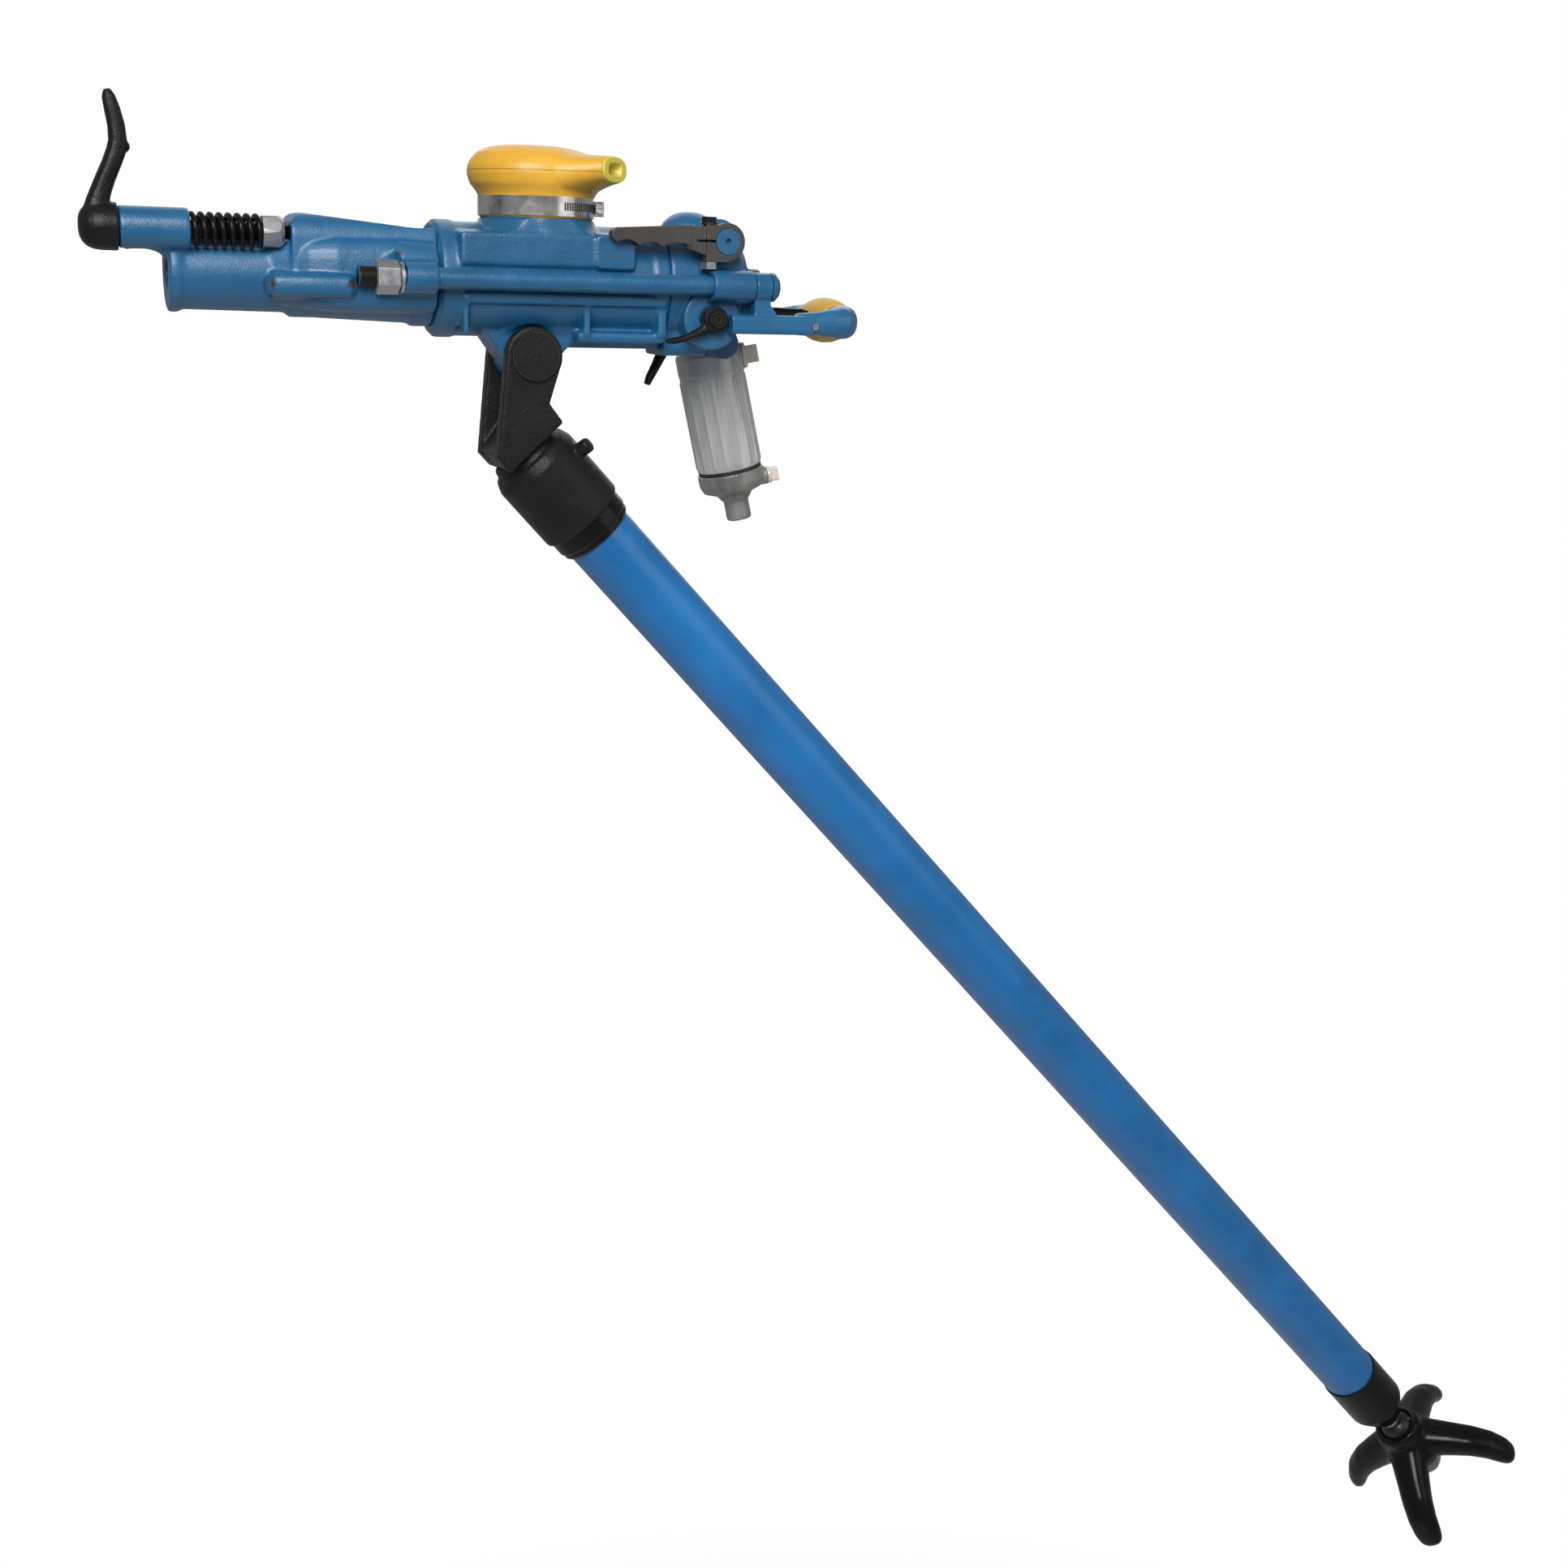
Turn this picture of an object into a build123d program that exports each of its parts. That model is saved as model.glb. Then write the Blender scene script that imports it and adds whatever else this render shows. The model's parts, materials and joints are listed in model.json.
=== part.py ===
from build123d import *
import math
import os

os.makedirs("parts", exist_ok=True)

# Pneumatic rock drill on an air leg, in millimetres.
# The origin is the mouth of the drill steel socket, on the drill axis.
# +X runs back to the operator, +Z is up, and the spring bolt and the throttle are on the -Y side.

# Fits and gaps
running_gap = 0.05
sliding_gap = 0.3
seat_gap = 0.02

# Stations along the drill axis
head_joint_x = 234.0
cylinder_end_x = 456.0
rear_head_end_x = 550.0

# Front head casting
nose_radius = 35.5
nose_lip_length = 8.0
nose_neck_radius = 33.0
nose_root_x = 101.0
nose_root_radius = 34.0
collar_radius = 38.0
collar_end_x = 126.0
body_taper_x = 213.0
body_taper_radius = 41.3
head_flange_radius = 44.0
hump_front_x = 104.0
hump_top = 54.0
hump_rear_top = 43.7
hump_half_width = 43.0
rail_front_x = 86.0
rail_rear_x = 205.0
rail_reach = 52.0
rail_radius = 12.0
rail_height = -10.0
nut_pocket_x = 171.0
nut_pocket_z = 9.0
nut_pocket_radius = 27.0
nut_pocket_floor = 47.0
pocket_pad_reach = 54.0
steel_opening_radius = 16.0
nose_wall = 6.0

# Through rods that hold the three castings together
rod_offset = 63.0
rod_radius = 9.5
rod_front_x = 158.0
rod_head_radius = 13.5
rod_head_length = 10.0
rod_thread_radius = 8.4
rod_nut_flats = 27.0
rod_nut_length = 22.0
rod_washer_thickness = 3.0
rod_ear_radius = 14.5
rod_ear_front_x = 198.0
rod_ear_rear_x = 229.0

# Spring bolt and the lever that keeps the drill steel in
bolt_y = -31.0
bolt_z = 36.0
bolt_radius = 8.0
bolt_stub_radius = 6.0
boss_radius = 18.0
boss_front_x = -41.0
boss_rear_x = 18.0
lever_hub_radius = 20.5
lever_hub_length = 32.0
lever_tip_height = 114.0
lever_nub_height = 66.0
lever_arm_width = 17.0
lever_arm_depth = 15.0
claw_inner_radius = 14.5
spring_length = 62.0
spring_outer_radius = 13.8
spring_wire = 4.4
spring_turns = 7.5
spring_nut_flats = 27.0
spring_nut_length = 18.5
bolt_end_x = 112.0
spring_pocket_radius = 16.5

# Rotation line and hammer, inside the castings
driver_radius = 28.0
driver_rear_x = 203.0
bushing_radius = 20.0
bushing_rear_x = 113.0
hex_socket_flats = 22.4
stem_radius = 19.0
stem_core_radius = 16.0
spline_count = 6
spline_width = 8.0
stroke = 60.0
piston_front_x = 114.0
piston_head_x = 285.0
piston_rear_x = 345.0
cylinder_bore = 40.0
guide_bush_radius = 30.0
guide_bush_front_x = 206.0
guide_bush_rear_x = 240.0
rifle_bar_radius = 12.0
rifle_bar_front_x = 298.0
rifle_lead = 860.0
rifle_flutes = 4
rifle_nut_x = 312.0
rifle_nut_radius = 24.0
needle_radius = 3.0
needle_bore = 1.5
needle_front_x = 100.0
chest_front_x = 407.0
chest_radius = 42.0
valve_box_depth = 14.0
valve_thickness = 6.0
plate_thickness = 4.0
ratchet_front_x = 431.0
ratchet_root_radius = 33.0
ratchet_crest_radius = 30.0
ratchet_teeth = 24
pawl_count = 4
rifle_head_radius = 24.0

# Cylinder casting
barrel_radius = 52.0
flange_strip_x = 238.0
flange_strip_rear_x = 254.0
flange_radius = 53.5
rear_flange_x = 442.0
name_panel_front_x = 254.0
name_panel_rear_x = 381.0
name_panel_bottom = 13.0
name_panel_top = 42.0
name_panel_reach = 54.0
pad_panel_rear_x = 419.0
pad_panel_reach = 56.0
lower_rib_top = -11.5
lower_rib_bottom = -18.0
lower_rib_reach = 53.0
bottom_rail_front_x = 300.0
bottom_rail_half_width = 20.0
bottom_rail_z = -61.0

# Exhaust neck, rubber silencer and its band
neck_x = 338.0
neck_spigot_radius = 50.0
neck_foot_radius = 54.5
neck_shoulder_z = 56.0
neck_top_z = 79.0
neck_bore = 43.0
silencer_wall = 3.6
silencer_skirt_top = 78.0
silencer_seam_z = 99.0
silencer_top = 121.5
silencer_nose_reach = 64.5
silencer_half_width = 56.0
nozzle_turn = 45.0
nozzle_reach = 84.0
nozzle_width = 46.0
nozzle_height = 24.0
nozzle_axis_z = 101.5
clamp_thickness = 1.2
clamp_bottom_z = 58.5
clamp_top_z = 76.0
clamp_housing_turn = -10.0

# Air leg: pivot under the cylinder, and the slope at rest
leg_pivot_x = 325.4
leg_pivot_z = -68.4
leg_angle = 47.33
leg_axis_offset = 62.0
lug_half_width = 26.0
yoke_eye_radius = 27.0
pivot_shaft_radius = 15.0

# Rear head casting
rear_body_radius = 53.0
rear_low_bottom_z = -67.0
rear_low_rear_x = 500.0
rear_low_half_width = 30.0
rear_body_half_width = 50.0
crown_x = 490.0
crown_radius = 27.0
crown_base_z = 55.0
crown_top_z = 68.5
throttle_x = 505.7
throttle_z = 40.8
drum_radius = 21.5
drum_reach = 45.0
regulator_x = 496.5
regulator_z = -31.3
regulator_boss_radius = 28.5
regulator_boss_reach = 55.0
rod_boss_front_x = 491.0
rod_boss_rear_x = 534.0
rod_boss_radius = 14.5

# Handle, grip and retract trigger
strap_length = 16.4
strap_radius = 13.5
handle_bar_z = -35.0
handle_bar_height = 18.0
handle_bar_thickness = 15.0
handle_front_x = 511.0
grip_x = 641.0
grip_z = -30.0
handle_bend_radius = 26.0
handle_tube_radius = 9.5
grip_radius = 20.5
grip_end_radius = 17.0
grip_half_length = 38.0

# Throttle lever, its valve and clamp bolt
throttle_lever_y = -62.0
throttle_lever_thickness = 14.0
throttle_valve_radius = 15.0
throttle_tip_x = 392.0
throttle_bolt_x = 489.0
throttle_bolt_radius = 4.0

# Regulator levers on a common shaft
regulator_valve_radius = 12.0
regulator_tip_x = 447.0
regulator_tip_z = -46.5
regulator_hub_radius = 12.0

# Air inlet swivel under the rear head's far side
inlet_x = 536.0
inlet_z = -56.0
inlet_boss_radius = 15.0
inlet_boss_reach = 46.0
elbow_radius = 10.5
elbow_bore = 7.0

# Water inlet on the back of the rear head
water_x = 550.0
trigger_pin_x = 596.0
trigger_pin_z = -36.0
trigger_pin_radius = 3.5
trigger_rise = 24.0

# Line oiler on the far side, hanging from the inlet elbow
oiler_y = 75.0
oiler_tilt = 13.0
oiler_radius = 34.5
oiler_top_s = 14.0
oiler_joint_s = 131.0
oiler_bottom_s = 152.0
oiler_spigot_s = 186.0
spigot_radius = 13.0
spigot_bore = 9.0
oiler_wall = 4.0
oiler_rib_count = 16
filler_turn = 25.0
filler_s = 20.0
filler_radius = 12.0
knob_s = 146.0
knob_turn = 20.0
knob_radius = 9.0

# Air leg: yoke, head, tubes, rod and foot
cheek_inner = 27.0
cheek_thickness = 16.0
yoke_end_s = 64.0
yoke_front_n = 29.0
yoke_back_n = -41.0
leg_head_radius = 44.0
leg_head_end_s = 154.0
leg_collar_radius = 40.5
leg_collar_end_s = 176.0
leg_tube_radius = 35.0
leg_tube_bore = 32.0
leg_tube_top_s = 120.0
leg_tube_end_s = 1700.0
leg_cap_top_s = 1685.0
leg_cap_radius = 36.8
leg_cap_end_s = 1788.0
leg_rod_radius = 17.0
leg_rod_bore = 12.0
leg_piston_s = 196.0
leg_piston_length = 40.0
leg_bush_radius = 25.0
leg_bush_top_s = 1704.0
leg_bush_length = 54.0
ball_s = 1822.0
ball_radius = 22.0
ball_neck_radius = 13.0
foot_hub_radius = 31.0
claw_count = 4
claw_tip_reach = 123.0
claw_tip_s = 1916.0
claw_half_width = 14.0
foot_nub_s = 1922.0

# Sizes that follow from the ones above
rod_hole = rod_radius + sliding_gap
driver_bore = driver_radius + running_gap


# Shared ways to make round bars, bores, slots and hexagons
def bar(plane, radius, length, at=(0, 0), mode=Mode.ADD):
    """A round bar, or a bore, that starts on a plane and runs along its normal."""
    with BuildSketch(plane) as outline:
        with Locations(at):
            Circle(radius)
    extrude(outline.sketch, amount=length, mode=mode)


def hexagon_bar(plane, flats, length, at=(0, 0), turn=0, mode=Mode.ADD):
    """A hexagon bar or socket of a given size across flats."""
    with BuildSketch(plane) as outline:
        with Locations(at):
            RegularPolygon(flats / 2, 6, major_radius=False, rotation=turn)
    extrude(outline.sketch, amount=length, mode=mode)


def turned(profile, axis=Axis.X, base=Plane.XZ, mode=Mode.ADD):
    """A turned shape from the points of half its section."""
    with BuildSketch(base) as outline:
        with BuildLine():
            Polyline(*profile, close=True)
        make_face()
    revolve(outline.sketch, axis=axis, mode=mode)


def slab(plane, outline_points, half_width, mode=Mode.ADD):
    """A plate with a drawn outline, as wide on both sides of its plane."""
    with BuildSketch(plane) as outline:
        with BuildLine():
            Polyline(*outline_points, close=True)
        make_face()
    extrude(outline.sketch, amount=half_width, both=True, mode=mode)


def finish(builder, name):
    """Label a finished piece and write it to its own file."""
    builder.part.label = name
    export_step(builder.part, f"parts/{name}.step")


def across(x):
    """The plane across the drill axis at a station."""
    return Plane.YZ.offset(x)


def side(y):
    """The plane along the drill axis at a distance to the side, facing the -Y side."""
    return Plane.XZ.offset(-y)


# Front head casting: hump under the spring bolt
hump_sink = 20.0
hump_front_corner = 8.0
hump_front_rise = 10.0
with BuildPart() as hump:
    with BuildSketch(Plane.XZ):
        with BuildLine():
            Polyline(
                (hump_front_x, 0),
                (hump_front_x, hump_top - hump_front_rise),
                (hump_front_x + hump_front_corner, hump_top),
                (head_joint_x - hump_sink, hump_rear_top),
                (head_joint_x, hump_rear_top),
                (head_joint_x, 0),
                close=True,
            )
        make_face()
    extrude(amount=hump_half_width, both=True)
    with BuildSketch(across(hump_front_x)):
        with BuildLine():
            Line((-hump_half_width, 0), (hump_half_width, 0))
            Line((hump_half_width, 0), (hump_half_width, bolt_z - 4))
            ThreePointArc(
                (hump_half_width, bolt_z - 4),
                (hump_half_width * 0.8, hump_top - 5),
                (hump_half_width * 0.42, hump_top),
            )
            Line((hump_half_width * 0.42, hump_top), (-hump_half_width * 0.42, hump_top))
            ThreePointArc(
                (-hump_half_width * 0.42, hump_top),
                (-hump_half_width * 0.8, hump_top - 5),
                (-hump_half_width, bolt_z - 4),
            )
            Line((-hump_half_width, bolt_z - 4), (-hump_half_width, 0))
        make_face()
    extrude(amount=head_joint_x - hump_front_x, mode=Mode.INTERSECT)

# Front head casting: the web that carries the spring bolt's boss on the nose
boss_distance = math.hypot(bolt_y, bolt_z)
boss_side = (bolt_y / boss_distance, bolt_z / boss_distance)
web_plane = Plane(origin=(0, 0, 0), x_dir=(1, 0, 0), z_dir=(0, -boss_side[1], boss_side[0]))
web_half_width = 13.0
web_foot = 20.0
web_crown = boss_distance - boss_radius + 3
with BuildPart() as boss_web:
    with BuildSketch(web_plane):
        with BuildLine():
            ThreePointArc((0, web_foot), (-7, web_crown - 4), (boss_front_x + 6, web_crown))
            Line((boss_front_x + 6, web_crown), (boss_front_x + 6, boss_distance))
            Line((boss_front_x + 6, boss_distance), (boss_rear_x, boss_distance))
            Line((boss_rear_x, boss_distance), (boss_rear_x, web_foot))
            Line((boss_rear_x, web_foot), (0, web_foot))
        make_face()
    extrude(amount=web_half_width, both=True)

# Front head casting
pad_front_x = 142.0
pad_top = 27.0
pad_bottom = -24.0
with BuildPart() as front_head:
    turned(
        [
            (0, 0),
            (0, nose_radius - 1.5),
            (1.5, nose_radius),
            (nose_lip_length, nose_radius),
            (nose_lip_length + 5, nose_neck_radius),
            (nose_root_x, nose_root_radius),
            (hump_front_x, nose_root_radius + 2),
            (hump_front_x + 2, collar_radius),
            (collar_end_x, collar_radius),
            (body_taper_x, body_taper_radius),
            (body_taper_x + 4, head_flange_radius),
            (head_joint_x, head_flange_radius),
            (head_joint_x, 0),
        ]
    )
    add(hump.part)
    add(boss_web.part)
    bar(across(boss_front_x), boss_radius, boss_rear_x - boss_front_x, (bolt_y, bolt_z))
    with BuildSketch(across(rail_front_x)):
        with Locations((0, rail_height)):
            SlotOverall(2 * rail_reach, 2 * rail_radius)
    extrude(amount=rail_rear_x - rail_front_x)
    with BuildSketch(across(pad_front_x)):
        with Locations((0, (pad_top + pad_bottom) / 2)):
            RectangleRounded(2 * pocket_pad_reach, pad_top - pad_bottom, 12)
    extrude(amount=rod_ear_front_x + 6 - pad_front_x)
    with BuildSketch(across(rod_ear_front_x)):
        SlotOverall(2 * (rod_offset + rod_ear_radius), 2 * rod_ear_radius)
    extrude(amount=rod_ear_rear_x - rod_ear_front_x)
    for y_side in (-1, 1):
        with BuildSketch(side(y_side * nut_pocket_floor)):
            with Locations((nut_pocket_x, nut_pocket_z)):
                Circle(nut_pocket_radius)
            with Locations((nut_pocket_x - nut_pocket_radius, nut_pocket_z)):
                Rectangle(2 * nut_pocket_radius, 60)
            with Locations(((nut_pocket_x + rod_ear_front_x) / 2, 0)):
                Rectangle(rod_ear_front_x - nut_pocket_x, 2 * rod_ear_radius + 2)
            with Locations((nut_pocket_x, nut_pocket_z - nut_pocket_radius)):
                Rectangle(2 * nut_pocket_radius, 30)
        extrude(amount=-y_side * 40, mode=Mode.SUBTRACT)
        bar(
            across(pad_front_x),
            rod_hole,
            head_joint_x - pad_front_x,
            (y_side * rod_offset, 0),
            Mode.SUBTRACT,
        )
    bar(
        across(boss_rear_x),
        spring_pocket_radius,
        hump_front_x - boss_rear_x,
        (bolt_y, bolt_z),
        Mode.SUBTRACT,
    )
    bar(across(0), steel_opening_radius, nose_wall, mode=Mode.SUBTRACT)
    bar(across(nose_wall), driver_bore, guide_bush_front_x - nose_wall, mode=Mode.SUBTRACT)
    bar(
        across(guide_bush_front_x),
        guide_bush_radius + seat_gap,
        head_joint_x - guide_bush_front_x,
        mode=Mode.SUBTRACT,
    )
    bar(
        across(boss_front_x),
        bolt_radius + running_gap,
        boss_rear_x - boss_front_x,
        (bolt_y, bolt_z),
        Mode.SUBTRACT,
    )
    bar(
        across(hump_front_x),
        bolt_stub_radius + running_gap,
        bolt_end_x - hump_front_x + 1,
        (bolt_y, bolt_z),
        Mode.SUBTRACT,
    )
finish(front_head, "front_head")

# Lever that keeps the drill steel in: hub, leaning arm with a nub, and the claw's notch
hub_rear_x = boss_front_x - seat_gap
hub_front_x = hub_rear_x - lever_hub_length
notch_side = 18.0
notch_height = math.sqrt(boss_distance**2 - notch_side**2)
arm_hub_x = -54.0
arm_nub_x = -38.0
arm_tip_x = -45.0
with BuildPart() as steel_retainer:
    turned(
        [
            (hub_front_x, 0),
            (hub_front_x, lever_hub_radius - 9),
            (hub_front_x + 3, lever_hub_radius - 4),
            (hub_front_x + 9, lever_hub_radius),
            (hub_rear_x, lever_hub_radius),
            (hub_rear_x, 0),
        ]
    )
    with BuildSketch(Plane.XZ):
        with BuildLine():
            Polyline(
                (arm_hub_x - lever_arm_width / 2, 0),
                (arm_hub_x - lever_arm_width / 2, 24),
                (arm_nub_x - lever_arm_width / 2 - 2, lever_nub_height),
                (arm_tip_x - 6, lever_tip_height - 4),
                (arm_tip_x - 2, lever_tip_height),
                (arm_tip_x + 4, lever_tip_height - 2),
                (arm_nub_x + lever_arm_width / 2 + 3, lever_nub_height + 6),
                (arm_nub_x + lever_arm_width / 2 + 4, lever_nub_height - 4),
                (arm_hub_x + lever_arm_width / 2 + 4, 22),
                (arm_hub_x + lever_arm_width / 2 + 3, 0),
                close=True,
            )
        make_face()
        fillet(vertices().group_by(Axis.Y)[1:], 2.5)
    extrude(amount=lever_arm_depth / 2, both=True)
    with BuildSketch(Plane.XZ):
        with BuildLine():
            Polyline(
                (arm_hub_x - lever_arm_width / 2, 10),
                (arm_hub_x - lever_arm_width / 2, 24),
                (arm_nub_x - lever_arm_width / 2 - 3, lever_nub_height - 8),
                (arm_nub_x + lever_arm_width / 2 - 1, lever_nub_height - 8),
                (arm_hub_x + lever_arm_width / 2 + 2, 22),
                (arm_hub_x + lever_arm_width / 2 + 2, 10),
                close=True,
            )
        make_face()
    extrude(amount=lever_hub_radius - 3, both=True)
    bar(
        across(hub_front_x - 1),
        claw_inner_radius,
        lever_hub_length + 40,
        (notch_side, notch_height),
        Mode.SUBTRACT,
    )
    bar(across(hub_front_x), bolt_radius + seat_gap, lever_hub_length, mode=Mode.SUBTRACT)
steel_retainer.part.locate(Location((0, bolt_y, bolt_z)))
finish(steel_retainer, "steel_retainer")

# Spring bolt with a domed head, through the lever's hub, the boss, the spring and the nut
bolt_head_thickness = 5.0
bolt_head_radius = 11.0
spring_front_x = boss_rear_x + seat_gap
spring_nut_x = spring_front_x + spring_length
with BuildPart() as retainer_bolt:
    turned(
        [
            (hub_front_x - bolt_head_thickness, 0),
            (hub_front_x - bolt_head_thickness, bolt_head_radius - 5),
            (hub_front_x - 1, bolt_head_radius),
            (hub_front_x - seat_gap, bolt_head_radius),
            (hub_front_x - seat_gap, bolt_radius),
            (spring_nut_x + spring_nut_length, bolt_radius),
            (spring_nut_x + spring_nut_length, bolt_stub_radius),
            (bolt_end_x, bolt_stub_radius),
            (bolt_end_x, 0),
        ]
    )
retainer_bolt.part.locate(Location((0, bolt_y, bolt_z)))
finish(retainer_bolt, "retainer_bolt")

# Bolt's spring, a helix in short straight runs with an octagonal wire
spring_mean_radius = spring_outer_radius - spring_wire / 2
spring_start_x = spring_front_x + spring_wire / 2 + 0.4
spring_advance = (spring_length - spring_wire - 0.8) / spring_turns
spring_runs_per_turn = 16
spring_corners = []
for run in range(round(spring_turns * spring_runs_per_turn) + 1):
    coil_angle = 2 * math.pi * run / spring_runs_per_turn
    spring_corners.append(
        (
            spring_start_x + spring_advance * run / spring_runs_per_turn,
            bolt_y + spring_mean_radius * math.cos(coil_angle),
            bolt_z + spring_mean_radius * math.sin(coil_angle),
        )
    )
with BuildPart() as retainer_spring:
    with BuildLine() as coil:
        Polyline(*spring_corners)
    with BuildSketch(Plane(coil.line @ 0, z_dir=coil.line % 0)):
        RegularPolygon(spring_wire / 2, 8)
    sweep(path=coil.line, transition=Transition.RIGHT)
finish(retainer_spring, "retainer_spring")

with BuildPart() as retainer_nut:
    hexagon_bar(across(spring_nut_x), spring_nut_flats, spring_nut_length, (bolt_y, bolt_z))
    turned(
        [
            (spring_nut_x - 1, 0),
            (spring_nut_x - 1, spring_nut_flats / 2 + 1),
            (spring_nut_x + spring_nut_length - 5, spring_nut_flats * 0.577),
            (spring_nut_x + spring_nut_length, spring_nut_flats / 2 - 2),
            (spring_nut_x + spring_nut_length, 0),
        ],
        axis=Axis((0, bolt_y, bolt_z), (1, 0, 0)),
        base=Plane(origin=(0, bolt_y, bolt_z), x_dir=(1, 0, 0), z_dir=(0, -1, 0)),
        mode=Mode.INTERSECT,
    )
    bar(
        across(spring_nut_x),
        bolt_radius + seat_gap,
        spring_nut_length,
        (bolt_y, bolt_z),
        Mode.SUBTRACT,
    )
finish(retainer_nut, "retainer_nut")

# Leg pivot and leg axis, used by the cylinder's lug and by the whole leg
leg_pivot = Vector(leg_pivot_x, 0, leg_pivot_z)
leg_slope = math.radians(leg_angle)
leg_along = Vector(math.cos(leg_slope), 0, -math.sin(leg_slope))
leg_below = Vector(-math.sin(leg_slope), 0, -math.cos(leg_slope))
leg_top = leg_pivot + leg_below * leg_axis_offset

# Exhaust neck of the cylinder, flared into the barrel
with BuildPart() as exhaust_neck:
    with BuildSketch(Plane(origin=(neck_x, 0, 0), x_dir=(1, 0, 0), z_dir=(0, -1, 0))):
        with BuildLine():
            Line((0, 20), (0, neck_top_z))
            Line((0, neck_top_z), (neck_spigot_radius, neck_top_z))
            Line((neck_spigot_radius, neck_top_z), (neck_spigot_radius, neck_shoulder_z))
            Line((neck_spigot_radius, neck_shoulder_z), (neck_foot_radius - 1, neck_shoulder_z))
            Line((neck_foot_radius - 1, neck_shoulder_z), (neck_foot_radius, neck_shoulder_z - 1))
            ThreePointArc(
                (neck_foot_radius, neck_shoulder_z - 1),
                (neck_foot_radius + 6, neck_shoulder_z - 10),
                (neck_foot_radius + 22, neck_shoulder_z - 17),
            )
            Line((neck_foot_radius + 22, neck_shoulder_z - 17), (neck_foot_radius + 22, 20))
            Line((neck_foot_radius + 22, 20), (0, 20))
        make_face()
    revolve(axis=Axis((neck_x, 0, 0), (0, 0, 1)))
    with BuildSketch(across(neck_x - 110)):
        with BuildLine():
            Line((-barrel_radius, 0), (barrel_radius, 0))
            Line((barrel_radius, 0), (barrel_radius, name_panel_top))
            ThreePointArc(
                (barrel_radius, name_panel_top),
                (neck_foot_radius - 4, neck_shoulder_z - 4),
                (neck_spigot_radius, neck_top_z + 1),
            )
            Line((neck_spigot_radius, neck_top_z + 1), (-neck_spigot_radius, neck_top_z + 1))
            ThreePointArc(
                (-neck_spigot_radius, neck_top_z + 1),
                (-neck_foot_radius + 4, neck_shoulder_z - 4),
                (-barrel_radius, name_panel_top),
            )
            Line((-barrel_radius, name_panel_top), (-barrel_radius, 0))
        make_face()
    extrude(amount=220, mode=Mode.INTERSECT)

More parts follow.
